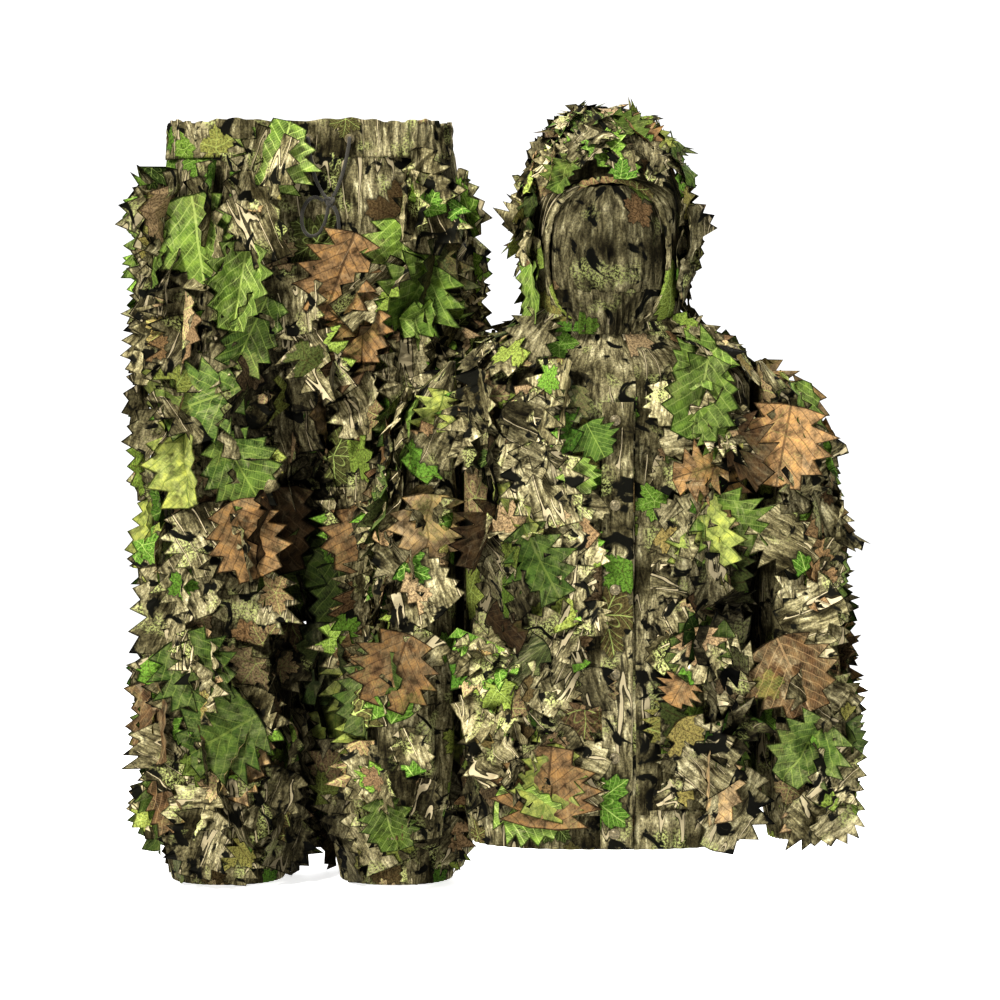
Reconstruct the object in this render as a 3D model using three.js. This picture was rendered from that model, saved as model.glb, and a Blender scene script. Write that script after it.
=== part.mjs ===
// A two-piece leaf-cut ghillie suit: a hooded jacket with a hanging face mask, and elastic-waist trousers.
// Both garments keep the shape that they have when worn, and stand side by side, the jacket in front.
// Millimetres, +Z up. The wearer faces -Y, so the wearer's left is +X. The origin is on the floor.
import * as THREE from "three";

const DEGREE = Math.PI / 180;
const RIGHT_SIDE = Math.PI; // section angles: 0 faces +X, a quarter turn faces +Y
const FRONT = 1.5 * Math.PI;
const LEFT_SIDE = 2 * Math.PI;
const TURN = 2 * Math.PI;

// Cloth
const fabric = 4; // base cloth with its sewn leaf layer
const binding = 5; // folded and elasticated edges are thicker
const seamGap = 0.4; // sewn pieces are separate solids, this far apart
const seatGap = 0.3; // small hardware lies this far off the cloth that carries it

// Where each garment stands
const jacketX = 163;
const jacketY = -138;
const trousersX = -252;
const trousersY = 134;

// Jacket
const hemHeight = 105;
const hemBandHeight = 46;
const bodyWidth = 386;
const bodyDepth = 256;
const hemWidth = bodyWidth - 6;
const hemDepth = 246;
const bodySquareness = 2.6;
const frontPlane = 121; // the buttoned front lies flat this far in front of the body's middle
const armpitHeight = 585;
const chestTop = 695;
const shoulderHeight = 743;
const shoulderWidth = bodyWidth + 14;
const neckHeight = 795;
const neckWidth = 212;
const neckDepth = 176;
const neckBandHeight = 10;
const throatHalfWidth = 18;

// Front opening
const placketWidth = 40;
const placketEdgeX = -8; // its free edge, from the middle of the front
const placketThickness = 3;
const placketFold = 5; // sewn-down return along the hinge seam
const snapPitch = 112;
const snapCount = 6;
const firstSnapAboveHem = 22;
const snapInset = 17; // from the placket's free edge
const snapCapRadius = 6.5;
const snapCapHeight = 3;
const snapStudRadius = 4.5;
const snapStudHeight = 2;

// Sleeves
const elbowHeight = 426;
const sleeveCuffTop = 150;
const sleeveEnd = 107;
const sleeveSquareness = 2.9;
const elbowWidth = 108;
const elbowDepth = 140;

// Hood and mask
const hoodWidth = 208;
const hoodDepth = 256;
const hoodShift = 3; // its middle lies this far behind the body's
const hoodDomeHeight = 950;
const hoodTop = 1084;
const faceMiddleHeight = 895;
const faceHalfHeight = 100;
const faceHalfAngle = 52 * DEGREE;
const rimShare = 0.9; // the rim's inner edge, as a share of the face opening
const rimThickness = 3.6;
const maskShare = 0.82;
const maskInset = 6;
const maskSkirtTop = 846;

// Trousers
const waistHeight = 1082;
const waistWidth = 408;
const waistDepth = 246;
const waistBandHeight = 46;
const hipWidth = 464;
const hipDepth = 264;
const hipHeight = 850;
const crotchHeight = 765;
const trousersFrontPlane = 117;
const legMiddle = 119;
const thighWidth = 224;
const thighDepth = 236;
const kneeHeight = 400;
const kneeWidth = 204;
const kneeDepth = 200;
const ankleWidth = 178;
const ankleDepth = 176;
const legCuffTop = 48;
const legCuffWidth = 164;
const legCuffDepth = 166;

// Drawcord
const cordDiameter = 5;
const eyeletRadius = 7;
const eyeletHoleRadius = 3.2;
const eyeletThickness = 1.6;
const knotRadius = 8;

// Leaf flaps
const leafThickness = 1.2;
const leafTeeth = 9;

const colours = {
  bark: 0x5b5340,
  shade: 0x3a3427,
  green: 0x5f7f2c,
  brown: 0x8a5a34,
  metal: 0x77704f,
  cord: 0x3c382c,
};
const materials = Object.fromEntries(
  Object.entries(colours).map(([name, color]) => [
    name,
    new THREE.MeshStandardMaterial({
      color,
      roughness: name === "metal" ? 0.55 : 0.9,
      metalness: name === "metal" ? 0.5 : 0,
      side: THREE.DoubleSide,
    }),
  ]),
);

const suit = new THREE.Group();
const jacket = new THREE.Group();
const trousers = new THREE.Group();
jacket.position.set(jacketX, jacketY, 0);
trousers.position.set(trousersX, trousersY, 0);
suit.add(jacket, trousers);

function add(group, name, geometry, material) {
  const mesh = new THREE.Mesh(geometry, material);
  mesh.name = name;
  group.add(mesh);
  return mesh;
}

// ---- Cloth panels ----

// A closed solid between an outer and an inner grid of points, both with rows of equal length.
// A looped solid joins each row's last point to its first.
function sheetSolid(outer, inner, loop) {
  const positions = [];
  const triangles = [];
  const known = new Map();
  const idOf = (point) => {
    const key = point.toArray().map((v) => v.toFixed(3)).join();
    if (!known.has(key)) {
      known.set(key, known.size);
      positions.push(...point.toArray());
    }
    return known.get(key);
  };
  const triangle = (a, b, c) => {
    if (a !== b && b !== c && c !== a) triangles.push(a, b, c);
  };
  const quad = (...corners) => {
    const [a, b, c, d] = corners.map(idOf);
    triangle(a, b, c);
    triangle(a, c, d);
  };
  const top = outer.length - 1;
  const columns = outer[0].length;
  const steps = loop ? columns : columns - 1;
  for (let j = 0; j < steps; j++) {
    const k = (j + 1) % columns;
    for (let i = 0; i < top; i++) {
      quad(outer[i][j], outer[i][k], outer[i + 1][k], outer[i + 1][j]);
      quad(inner[i][k], inner[i][j], inner[i + 1][j], inner[i + 1][k]);
    }
    quad(inner[0][j], inner[0][k], outer[0][k], outer[0][j]);
    quad(outer[top][j], outer[top][k], inner[top][k], inner[top][j]);
  }
  if (!loop) {
    for (let i = 0; i < top; i++) {
      quad(inner[i][0], outer[i][0], outer[i + 1][0], inner[i + 1][0]);
      quad(outer[i][steps], inner[i][steps], inner[i + 1][steps], outer[i + 1][steps]);
    }
  }
  const geometry = new THREE.BufferGeometry();
  geometry.setAttribute("position", new THREE.Float32BufferAttribute(positions, 3));
  geometry.setIndex(triangles);
  geometry.computeVertexNormals();
  return geometry;
}

// The station at height z, read between the listed ones, which run upwards.
function stationAt(stations, z) {
  const next = Math.max(1, stations.findIndex((s) => s.z >= z - 1e-6));
  const above = stations[next < 0 ? stations.length - 1 : next];
  const below = stations[stations.indexOf(above) - 1];
  const share = (z - below.z) / (above.z - below.z);
  const mix = (key) => (below[key] ?? 0) + share * ((above[key] ?? 0) - (below[key] ?? 0));
  return { x: mix("x"), y: mix("y"), width: mix("width"), depth: mix("depth") };
}

// A tube of rounded sections. Its surface gives the point at an angle and height, inset towards the middle.
function tube(stations, squareness = 2, flatFront = Infinity) {
  return (angle, z, inset = 0) => {
    const s = stationAt(stations, z);
    const rounded = (t) => Math.sign(t) * Math.abs(t) ** (2 / squareness);
    const x = (s.width / 2 - inset) * rounded(Math.cos(angle));
    const y = (s.depth / 2 - inset) * rounded(Math.sin(angle));
    return new THREE.Vector3(s.x + x, s.y + Math.max(y, inset - flatFront), z);
  };
}

// The angle on such a tube's front at which its surface is x from the middle.
function frontAngle(stations, squareness, z, x) {
  const half = stationAt(stations, z).width / 2;
  return FRONT + Math.sign(x) * Math.asin((Math.abs(x) / half) ** (squareness / 2));
}

// A panel of cloth on a surface. Each row has a height and the angles where it starts and ends.
function clothPanel(surface, rows, columns, { loop = false, thickness = fabric, inset = 0 } = {}) {
  const grid = (depth) =>
    rows.map(({ z, from, to }) =>
      Array.from({ length: loop ? columns : columns + 1 }, (_, j) =>
        surface(from + ((to - from) * j) / columns, z, depth),
      ),
    );
  return sheetSolid(grid(inset), grid(inset + thickness), loop);
}

function ringRows(heights) {
  return heights.map((z) => ({ z, from: 0, to: TURN }));
}

// ---- Jacket body ----

const bodyStations = [
  { z: hemHeight, width: hemWidth, depth: hemDepth },
  { z: hemHeight + hemBandHeight, width: hemWidth + 4, depth: hemDepth + 4 },
  { z: 330, width: bodyWidth, depth: bodyDepth },
  { z: armpitHeight, width: bodyWidth + 8, depth: bodyDepth + 6 },
  { z: chestTop, width: shoulderWidth - 2, depth: bodyDepth - 4 },
  { z: shoulderHeight, width: shoulderWidth, depth: 204 },
  { z: neckHeight, width: neckWidth, depth: neckDepth },
  { z: neckHeight + 2 * neckBandHeight, width: neckWidth, depth: neckDepth },
];
const bodySurface = tube(bodyStations, bodySquareness, frontPlane);
const frontSplitX = placketEdgeX + placketWidth; // the left front starts here, under the placket's seam
const seamAngle = seamGap / 200;

// Half the angle that the armhole takes out of the body's side, at heights from armpit to shoulder.
const armhole = [
  [armpitHeight, 0],
  [armpitHeight + 20, 0.2],
  [armpitHeight + 60, 0.3],
  [chestTop, 0.26],
  [shoulderHeight - 16, 0.14],
  [shoulderHeight, 0],
];
const bodyRows = [
  [hemHeight + hemBandHeight + seamGap, 0],
  [330, 0],
  ...armhole,
  [neckHeight, 0],
];

// Where each front ends at the middle: closed up to the shoulders, then open in a V at the throat.
function frontEdge(z, closedX, throatX) {
  const share = Math.max(0, (z - shoulderHeight) / (neckHeight - shoulderHeight));
  return frontAngle(bodyStations, bodySquareness, z, closedX + share * (throatX - closedX));
}

add(
  jacket,
  "back_panel",
  clothPanel(
    bodySurface,
    bodyRows.map(([z, cut]) => ({ z, from: cut + seamAngle, to: Math.PI - cut - seamAngle })),
    8,
  ),
  materials.bark,
);
add(
  jacket,
  "right_front_panel",
  clothPanel(
    bodySurface,
    bodyRows.map(([z, cut]) => ({
      z,
      from: RIGHT_SIDE + cut + seamAngle,
      to: frontEdge(z, frontSplitX - 2, -throatHalfWidth),
    })),
    5,
  ),
  materials.bark,
);
add(
  jacket,
  "left_front_panel",
  clothPanel(
    bodySurface,
    bodyRows.map(([z, cut]) => ({
      z,
      from: frontEdge(z, frontSplitX + seamGap, throatHalfWidth),
      to: LEFT_SIDE - cut - seamAngle,
    })),
    5,
  ),
  materials.bark,
);
add(
  jacket,
  "hem_band",
  clothPanel(
    bodySurface,
    [hemHeight, hemHeight + hemBandHeight].map((z) => ({
      z,
      from: frontAngle(bodyStations, bodySquareness, z, frontSplitX + seamGap),
      to: frontAngle(bodyStations, bodySquareness, z, frontSplitX - 2) + TURN,
    })),
    16,
    { thickness: binding },
  ),
  materials.shade,
);
add(
  jacket,
  "neck_band",
  clothPanel(
    bodySurface,
    [neckHeight + seamGap, neckHeight + neckBandHeight].map((z) => ({
      z,
      from: frontAngle(bodyStations, bodySquareness, z, throatHalfWidth),
      to: frontAngle(bodyStations, bodySquareness, z, -throatHalfWidth) + TURN,
    })),
    12,
    { thickness: binding },
  ),
  materials.shade,
);

// A strap loop sewn inside the back of the neck band, for hanging the jacket on a hook.
const loopHeight = 26;
const loopHalfWidth = 0.113 * neckWidth;
const loopStrap = 6;
const loopThickness = 2;
const loopStandOff = 3.6; // clear of the band's curve at the loop's ends
function arch(halfWidth, height) {
  const path = new THREE.Shape();
  path.moveTo(halfWidth, 0);
  path.lineTo(-halfWidth, 0);
  path.lineTo(-halfWidth, -(height - halfWidth / 2));
  path.quadraticCurveTo(-halfWidth, -height, 0, -height);
  path.quadraticCurveTo(halfWidth, -height, halfWidth, -(height - halfWidth / 2));
  return path;
}
const loopShape = arch(loopHalfWidth, loopHeight);
const loopHole = arch(loopHalfWidth - loopStrap, loopHeight - loopStrap);
loopShape.holes.push(
  new THREE.Path(loopHole.getPoints(4).map((p) => new THREE.Vector2(p.x, p.y - loopStrap / 2))),
);
const loopGeometry = new THREE.ExtrudeGeometry(loopShape, {
  depth: loopThickness,
  bevelEnabled: false,
  curveSegments: 4,
});
const hangerLoop = add(jacket, "hanger_loop", loopGeometry, materials.cord);
hangerLoop.rotation.x = Math.PI / 2;
hangerLoop.position.set(0, neckDepth / 2 - binding - loopStandOff, neckHeight + neckBandHeight - 2);

// ---- Front opening: placket and snaps ----

const placketBack = frontPlane + snapStudHeight + 2 * seatGap;
const placketFront = placketBack + placketThickness;
const placketSection = new THREE.Shape();
placketSection.moveTo(placketEdgeX, placketBack);
placketSection.lineTo(frontSplitX - placketFold, placketBack);
placketSection.lineTo(frontSplitX - placketFold, frontPlane + seamGap);
placketSection.lineTo(frontSplitX, frontPlane + seamGap);
placketSection.lineTo(frontSplitX, placketFront);
placketSection.lineTo(placketEdgeX, placketFront);
const placketGeometry = new THREE.ExtrudeGeometry(placketSection, {
  depth: chestTop - hemHeight - 3,
  bevelEnabled: false,
});
placketGeometry.scale(1, -1, 1); // the section is drawn forwards, and forwards is -Y
placketGeometry.index?.array.reverse();
const placket = add(jacket, "placket", turnedOut(placketGeometry), materials.bark);
placket.position.z = hemHeight + 1;

// A mirrored geometry has its triangles turned back to face outwards.
function turnedOut(geometry) {
  const plain = geometry.index ? geometry.toNonIndexed() : geometry;
  const place = plain.getAttribute("position");
  for (let i = 0; i < place.count; i += 3) {
    const first = new THREE.Vector3().fromBufferAttribute(place, i);
    const second = new THREE.Vector3().fromBufferAttribute(place, i + 1);
    place.setXYZ(i, second.x, second.y, second.z);
    place.setXYZ(i + 1, first.x, first.y, first.z);
  }
  plain.computeVertexNormals();
  return plain;
}

// A round button turned about Y, from its back face at y to its front.
function turnedButton(radius, height, dome) {
  const profile = [
    new THREE.Vector2(0, 0),
    new THREE.Vector2(radius * 0.92, 0),
    new THREE.Vector2(radius, height * 0.3),
    new THREE.Vector2(radius * dome, height * 0.85),
    new THREE.Vector2(0, height),
  ];
  return new THREE.LatheGeometry(profile, 16);
}

const snapX = placketEdgeX + snapInset;
for (let i = 0; i < snapCount; i++) {
  const z = hemHeight + firstSnapAboveHem + (i === 0 ? 0 : i * snapPitch - firstSnapAboveHem / 2);
  const cap = add(jacket, `snap_cap_${i + 1}`, turnedButton(snapCapRadius, snapCapHeight, 0.7), materials.metal);
  cap.rotation.x = Math.PI;
  cap.position.set(snapX, -(placketFront + seatGap), z);
  const stud = add(jacket, `snap_stud_${i + 1}`, turnedButton(snapStudRadius, snapStudHeight, 0.8), materials.metal);
  stud.rotation.x = Math.PI;
  stud.position.set(snapX, -(frontPlane + seatGap), z);
}

// ---- Sleeves: modelled on the wearer's left, and mirrored for the right ----

const sleeveInnerX = shoulderWidth / 2 + seamGap;
// Height, outer edge beyond the armhole plane, inner edge beyond it, and depth.
const sleeveProfile = [
  [sleeveEnd, elbowWidth + 2, 24, 100],
  [sleeveCuffTop, elbowWidth + 12, 14, elbowDepth - 18],
  [290, elbowWidth + 16, 5, elbowDepth - 4],
  [elbowHeight, elbowWidth, 1, elbowDepth],
  [510, elbowWidth - 7, 0, elbowDepth + 6],
  [armpitHeight + 20, elbowWidth - 18, 0, elbowDepth + 8],
  [armpitHeight + 65, elbowWidth - 30, 0, elbowDepth + 2],
  [shoulderHeight - 41, elbowWidth - 50, 0, elbowDepth - 12],
  [shoulderHeight - 15, 38, 0, 104],
  [shoulderHeight, 14, 0, 56],
];
const sleeveSurface = tube(
  sleeveProfile.map(([z, outer, inner, depth]) => ({
    z,
    x: sleeveInnerX + (outer + inner) / 2,
    width: outer - inner,
    depth,
  })),
  sleeveSquareness,
);
// Half the angle left open towards the armhole, above the armpit.
const sleeveMouth = [
  [elbowHeight + seamGap, 0],
  [510, 0],
  [armpitHeight + 20, 0.3],
  [armpitHeight + 65, 0.46],
  [shoulderHeight - 41, 0.46],
  [shoulderHeight - 15, 0.26],
  [shoulderHeight, 0],
];
const upperSleeve = clothPanel(
  sleeveSurface,
  sleeveMouth.map(([z, open]) => ({
    z,
    from: -Math.PI + open + 3 * seamAngle,
    to: Math.PI - open - 3 * seamAngle,
  })),
  12,
);
const lowerSleeve = clothPanel(
  sleeveSurface,
  ringRows([sleeveCuffTop + seamGap, 290, elbowHeight]),
  12,
  { loop: true },
);
const sleeveCuff = clothPanel(sleeveSurface, ringRows([sleeveEnd, sleeveCuffTop]), 12, {
  loop: true,
  thickness: binding,
});

function bothSides(parent, build) {
  const left = new THREE.Group();
  const right = new THREE.Group();
  right.scale.x = -1;
  parent.add(left, right);
  build(left, "left");
  build(right, "right");
}

bothSides(jacket, (side, name) => {
  add(side, `${name}_sleeve_upper`, upperSleeve, materials.bark);
  add(side, `${name}_sleeve_lower`, lowerSleeve, materials.bark);
  add(side, `${name}_sleeve_cuff`, sleeveCuff, materials.shade);
});

// ---- Hood and face mask ----

const hoodBase = neckHeight + neckBandHeight + seamGap;
const hoodStations = [
  { z: hoodBase, y: 0, width: neckWidth - 2, depth: neckDepth + 4 },
  { z: 850, y: hoodShift, width: hoodWidth, depth: hoodDepth - 12 },
  { z: hoodDomeHeight, y: hoodShift, width: hoodWidth, depth: hoodDepth },
];
const hoodTube = tube(hoodStations, 2.2);
// Up to the dome the hood is a tube, and above it each section shrinks as a half ellipse.
function hoodSurface(angle, z, inset = 0) {
  if (z <= hoodDomeHeight) return hoodTube(angle, z, inset);
  const rise = (z - hoodDomeHeight) / (hoodTop - hoodDomeHeight);
  const shrink = Math.sqrt(Math.max(0, 1 - rise * rise));
  const point = hoodTube(angle, hoodDomeHeight, inset);
  const height = rise * (hoodTop - hoodDomeHeight - inset);
  return new THREE.Vector3(
    point.x * shrink,
    hoodShift + (point.y - hoodShift) * shrink,
    hoodDomeHeight + height,
  );
}
// Half the angle of the face opening at a height, for an opening of a share of the full size.
function faceAngle(z, share = 1) {
  const rise = (z - faceMiddleHeight) / (faceHalfHeight * share);
  return faceHalfAngle * share * Math.sqrt(Math.max(0, 1 - rise * rise));
}
const brow = faceMiddleHeight + faceHalfHeight;
const faceHeights = [hoodBase, 850, 900, hoodDomeHeight, 975, 987, brow];
const crownHeights = [1025, 1055, 1075, hoodTop];
const hoodHalf = clothPanel(
  hoodSurface,
  [...faceHeights, ...crownHeights].map((z) => ({
    z,
    from: FRONT - TURN + faceAngle(z),
    to: Math.PI / 2,
  })),
  7,
);
hoodHalf.translate(seamGap / 2, 0, 0);
bothSides(jacket, (side, name) => add(side, `hood_${name}_half`, hoodHalf, materials.bark));

// The bound rim goes up one side of the face, over the brow and down the other.
const rimClearance = 0.992;
const rimSteps = faceHeights.map((z) => ({ z, turn: Math.asin((z - faceMiddleHeight) / faceHalfHeight) }));
const rimArch = [
  ...rimSteps.map(({ turn }) => turn),
  ...rimSteps.slice(0, -1).reverse().map(({ turn }) => Math.PI - turn),
];
function rimPoint(turn, share, inset) {
  const angle = FRONT + faceHalfAngle * share * Math.cos(turn);
  const z = faceMiddleHeight + faceHalfHeight * share * Math.sin(turn);
  return hoodSurface(angle, Math.max(z, hoodBase), inset);
}
const rimGrid = (inset) =>
  rimArch.map((turn) => [rimShare, rimClearance].map((share) => rimPoint(turn, share, inset)));
add(jacket, "hood_rim", sheetSolid(rimGrid(0), rimGrid(rimThickness), false), materials.shade);

const maskHeights = [maskSkirtTop + seamGap, 900, 935, 955, 966, faceMiddleHeight + faceHalfHeight * maskShare - 3];
add(
  jacket,
  "face_mask",
  clothPanel(
    hoodSurface,
    maskHeights.map((z) => ({ z, from: FRONT - faceAngle(z, maskShare), to: FRONT + faceAngle(z, maskShare) })),
    6,
    { thickness: 2, inset: maskInset },
  ),
  materials.bark,
);
// The gathered skirt of the mask hangs below it, into the throat.
const skirtGather = 0.6; // its lower edge is drawn in by this much
add(
  jacket,
  "mask_skirt",
  clothPanel(
    hoodSurface,
    [
      [hoodBase, faceAngle(830, maskShare) * skirtGather],
      [maskSkirtTop, faceAngle(maskSkirtTop, maskShare)],
    ].map(([z, half]) => ({ z, from: FRONT - half, to: FRONT + half })),
    6,
    { thickness: 3, inset: maskInset },
  ),
  materials.bark,
);

// ---- Trousers ----

const waistBandBase = waistHeight - waistBandHeight;
const seatMiddle = (hipHeight + waistBandBase) / 2;
const seatStations = [
  { z: crotchHeight, width: hipWidth, depth: thighDepth + 10 },
  { z: hipHeight, width: hipWidth - 6, depth: hipDepth },
  { z: seatMiddle, width: (hipWidth + waistWidth) / 2 - 2, depth: hipDepth - 6 },
  { z: waistBandBase, width: waistWidth + 4, depth: waistDepth + 2 },
  { z: waistHeight, width: waistWidth, depth: waistDepth },
];
const seatSurface = tube(seatStations, 2.4, trousersFrontPlane);
const seatHeights = [crotchHeight + seamGap, hipHeight, seatMiddle, waistBandBase - seamGap];
add(
  trousers,
  "seat_front",
  clothPanel(
    seatSurface,
    seatHeights.map((z) => ({ z, from: RIGHT_SIDE + seamAngle, to: LEFT_SIDE - seamAngle })),
    10,
  ),
  materials.bark,
);
add(
  trousers,
  "seat_back",
  clothPanel(
    seatSurface,
    seatHeights.map((z) => ({ z, from: seamAngle, to: Math.PI - seamAngle })),
    10,
  ),
  materials.bark,
);
add(
  trousers,
  "waistband",
  clothPanel(seatSurface, ringRows([waistBandBase, waistHeight]), 20, { loop: true, thickness: binding }),
  materials.shade,
);

const legSurface = tube(
  [
    { z: 0, x: legMiddle + 3, width: legCuffWidth, depth: legCuffDepth },
    { z: legCuffTop, x: legMiddle + 3, width: ankleWidth, depth: ankleDepth },
    { z: 220, x: legMiddle + 2, width: (ankleWidth + kneeWidth) / 2 + 6, depth: (ankleDepth + kneeDepth) / 2 },
    { z: kneeHeight, x: legMiddle + 1, width: kneeWidth, depth: kneeDepth },
    { z: 600, x: legMiddle, width: (kneeWidth + thighWidth) / 2, depth: (kneeDepth + thighDepth) / 2 },
    { z: crotchHeight, x: legMiddle, width: thighWidth, depth: thighDepth },
  ],
  2.2,
);
const legHalf = (heights, start) =>
  clothPanel(
    legSurface,
    heights.map((z) => ({ z, from: start + 2 * seamAngle, to: start + Math.PI - 2 * seamAngle })),
    6,
  );
const thighHeights = [kneeHeight + seamGap, 600, crotchHeight];
const shinHeights = [legCuffTop + seamGap, 220, kneeHeight];
const legPieces = {
  thigh_front: legHalf(thighHeights, Math.PI),
  thigh_back: legHalf(thighHeights, 0),
  shin_front: legHalf(shinHeights, Math.PI),
  shin_back: legHalf(shinHeights, 0),
};
const legCuff = clothPanel(legSurface, ringRows([0, legCuffTop]), 12, { loop: true, thickness: binding });
bothSides(trousers, (side, name) => {
  for (const [piece, geometry] of Object.entries(legPieces)) {
    add(side, `${name}_${piece}`, geometry, materials.bark);
  }
  add(side, `${name}_leg_cuff`, legCuff, materials.shade);
});

// ---- Drawcord: two strands out of the waistband to a knot, then a loop and a tail ----

const cordFace = -(trousersFrontPlane + cordDiameter / 2 + 3 * seatGap);
const eyeletFace = trousersFrontPlane + seatGap;
const eyeletHeight = waistHeight - waistBandHeight / 2;
const eyeletXs = { right: 4, left: 62 };
const knotAt = new THREE.Vector3(34, -(trousersFrontPlane + knotRadius + 2 * seatGap), waistHeight - 110);

const eyeletShape = new THREE.Shape();
eyeletShape.absarc(0, 0, eyeletRadius, 0, TURN);
const eyeletHole = new THREE.Path();
eyeletHole.absarc(0, 0, eyeletHoleRadius, 0, TURN, true);
eyeletShape.holes.push(eyeletHole);
const eyeletGeometry = new THREE.ExtrudeGeometry(eyeletShape, {
  depth: eyeletThickness,
  bevelEnabled: false,
  curveSegments: 6,
});
for (const [name, x] of Object.entries(eyeletXs)) {
  const eyelet = add(trousers, `${name}_eyelet`, eyeletGeometry, materials.metal);
  eyelet.rotation.x = Math.PI / 2;
  eyelet.position.set(x, -eyeletFace, eyeletHeight);
}

// A cord solid of a round eight-sided section along hand-set points.
function cordSolid(points, steps) {
  const section = new THREE.Shape();
  section.absarc(0, 0, cordDiameter / 2, 0, TURN);
  return new THREE.ExtrudeGeometry(section, {
    steps,
    curveSegments: 2,
    bevelEnabled: false,
    extrudePath: new THREE.CatmullRomCurve3(points),
  });
}
const cordOut = trousersFrontPlane + eyeletThickness + 2 * seatGap + cordFace; // behind the hanging cord's face
const eyeletDrop = waistHeight - eyeletHeight;
// Each point is its place across, how far it stands in front of the hanging cord's face, and its drop from the waist.
const cordRoutes = {
  drawcord_right: [
    [4, cordOut, eyeletDrop], [4, cordOut + 4, eyeletDrop], [6, 3.5, eyeletDrop + 11],
    [9, 1, 57], [15, 0, 80], [24, 1, 98], [28.5, 3, 104],
  ],
  drawcord_left: [
    [62, cordOut, eyeletDrop], [62, cordOut + 4, eyeletDrop], [61, 3.5, eyeletDrop + 11],
    [56, 1, 57], [50, 0, 78], [43, 1, 96], [39, 3, 103],
  ],
  drawcord_loop: [
    [25.4, 5, 109], [14, 4, 104], [3, 2, 110], [-4, 1, 125], [-4, 1, 144],
    [4, 1, 157], [17, 1, 156], [26, 2, 143], [30.5, 4, 128], [31.9, 5, 118.4],
  ],
  drawcord_tail: [
    [39.6, 5, 116.7], [45, 2, 128], [47, 1, 147], [46, 0, 167], [49, 0, 187], [48, 0, 206], [50, 0, 216],
  ],
};
for (const [name, points] of Object.entries(cordRoutes)) {
  const places = points.map(([x, ahead, drop]) => new THREE.Vector3(x, cordFace - ahead, waistHeight - drop));
  add(trousers, name, cordSolid(places, 12), materials.cord);
}
const knot = add(trousers, "drawcord_knot", new THREE.SphereGeometry(knotRadius, 10, 8), materials.cord);
knot.position.copy(knotAt);

// ---- Large leaf flaps, each stitched down its midrib ----

// A toothed heart-shaped blade with its stem upwards.
function leafShape(length) {
  const shape = new THREE.Shape();
  for (let i = 0; i < 2 * leafTeeth; i++) {
    const angle = (i / leafTeeth) * Math.PI;
    const reach = i % 2 === 0 ? 1 : 0.72;
    const blade = (length / 2) * (0.84 - 0.16 * Math.cos(2 * angle)) * reach;
    const x = blade * Math.sin(angle);
    const y = -blade * Math.cos(angle);
    if (i === 0) shape.moveTo(x, y);
    else shape.lineTo(x, y);
  }
  return shape;
}

// Lays a leaf flat on a cloth facet, at the middle of the facet between two angles and two heights.
function leafOn(group, name, surface, angles, heights, length, material, spin) {
  const corners = heights.map((z) => angles.map((a) => surface(a, z)));
  const across = corners[0][1].clone().sub(corners[0][0]).normalize();
  const up = corners[1][0].clone().sub(corners[0][0]);
  const out = across.clone().cross(up).normalize();
  const middle = corners.flat().reduce((sum, p) => sum.add(p), new THREE.Vector3()).divideScalar(4);
  const leaf = add(
    group,
    name,
    new THREE.ExtrudeGeometry(leafShape(length), { depth: leafThickness, bevelEnabled: false }),
    material,
  );
  const upright = out.clone().cross(across);
  leaf.quaternion.setFromRotationMatrix(new THREE.Matrix4().makeBasis(across, upright, out));
  leaf.rotateZ(spin * DEGREE);
  leaf.position.copy(middle).addScaledVector(out, seamGap);
}

const facet = (count, from, to, index) => [0, 1].map((k) => from + ((to - from) * (index + k)) / count);
const seatFacet = (index) => facet(10, RIGHT_SIDE + seamAngle, LEFT_SIDE - seamAngle, index);
leafOn(trousers, "leaf_hip_green", seatSurface, seatFacet(1), [hipHeight, seatMiddle], 92, materials.green, 8);
const leftLegSide = (index) => facet(6, Math.PI + 2 * seamAngle, TURN - 2 * seamAngle, index);
bothSides(trousers, (side, name) => {
  leafOn(side, `leaf_${name}_thigh`, legSurface, leftLegSide(2), [kneeHeight, 600], 96, materials.brown, -6);
  leafOn(side, `leaf_${name}_shin`, legSurface, leftLegSide(3), [220, kneeHeight], 100, materials.green, 10);
});
const backFacet = (index) => facet(8, seamAngle, Math.PI - seamAngle, index);
leafOn(jacket, "leaf_back_brown", bodySurface, backFacet(4), [330, armpitHeight], 110, materials.brown, 12);

export default suit;
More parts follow.
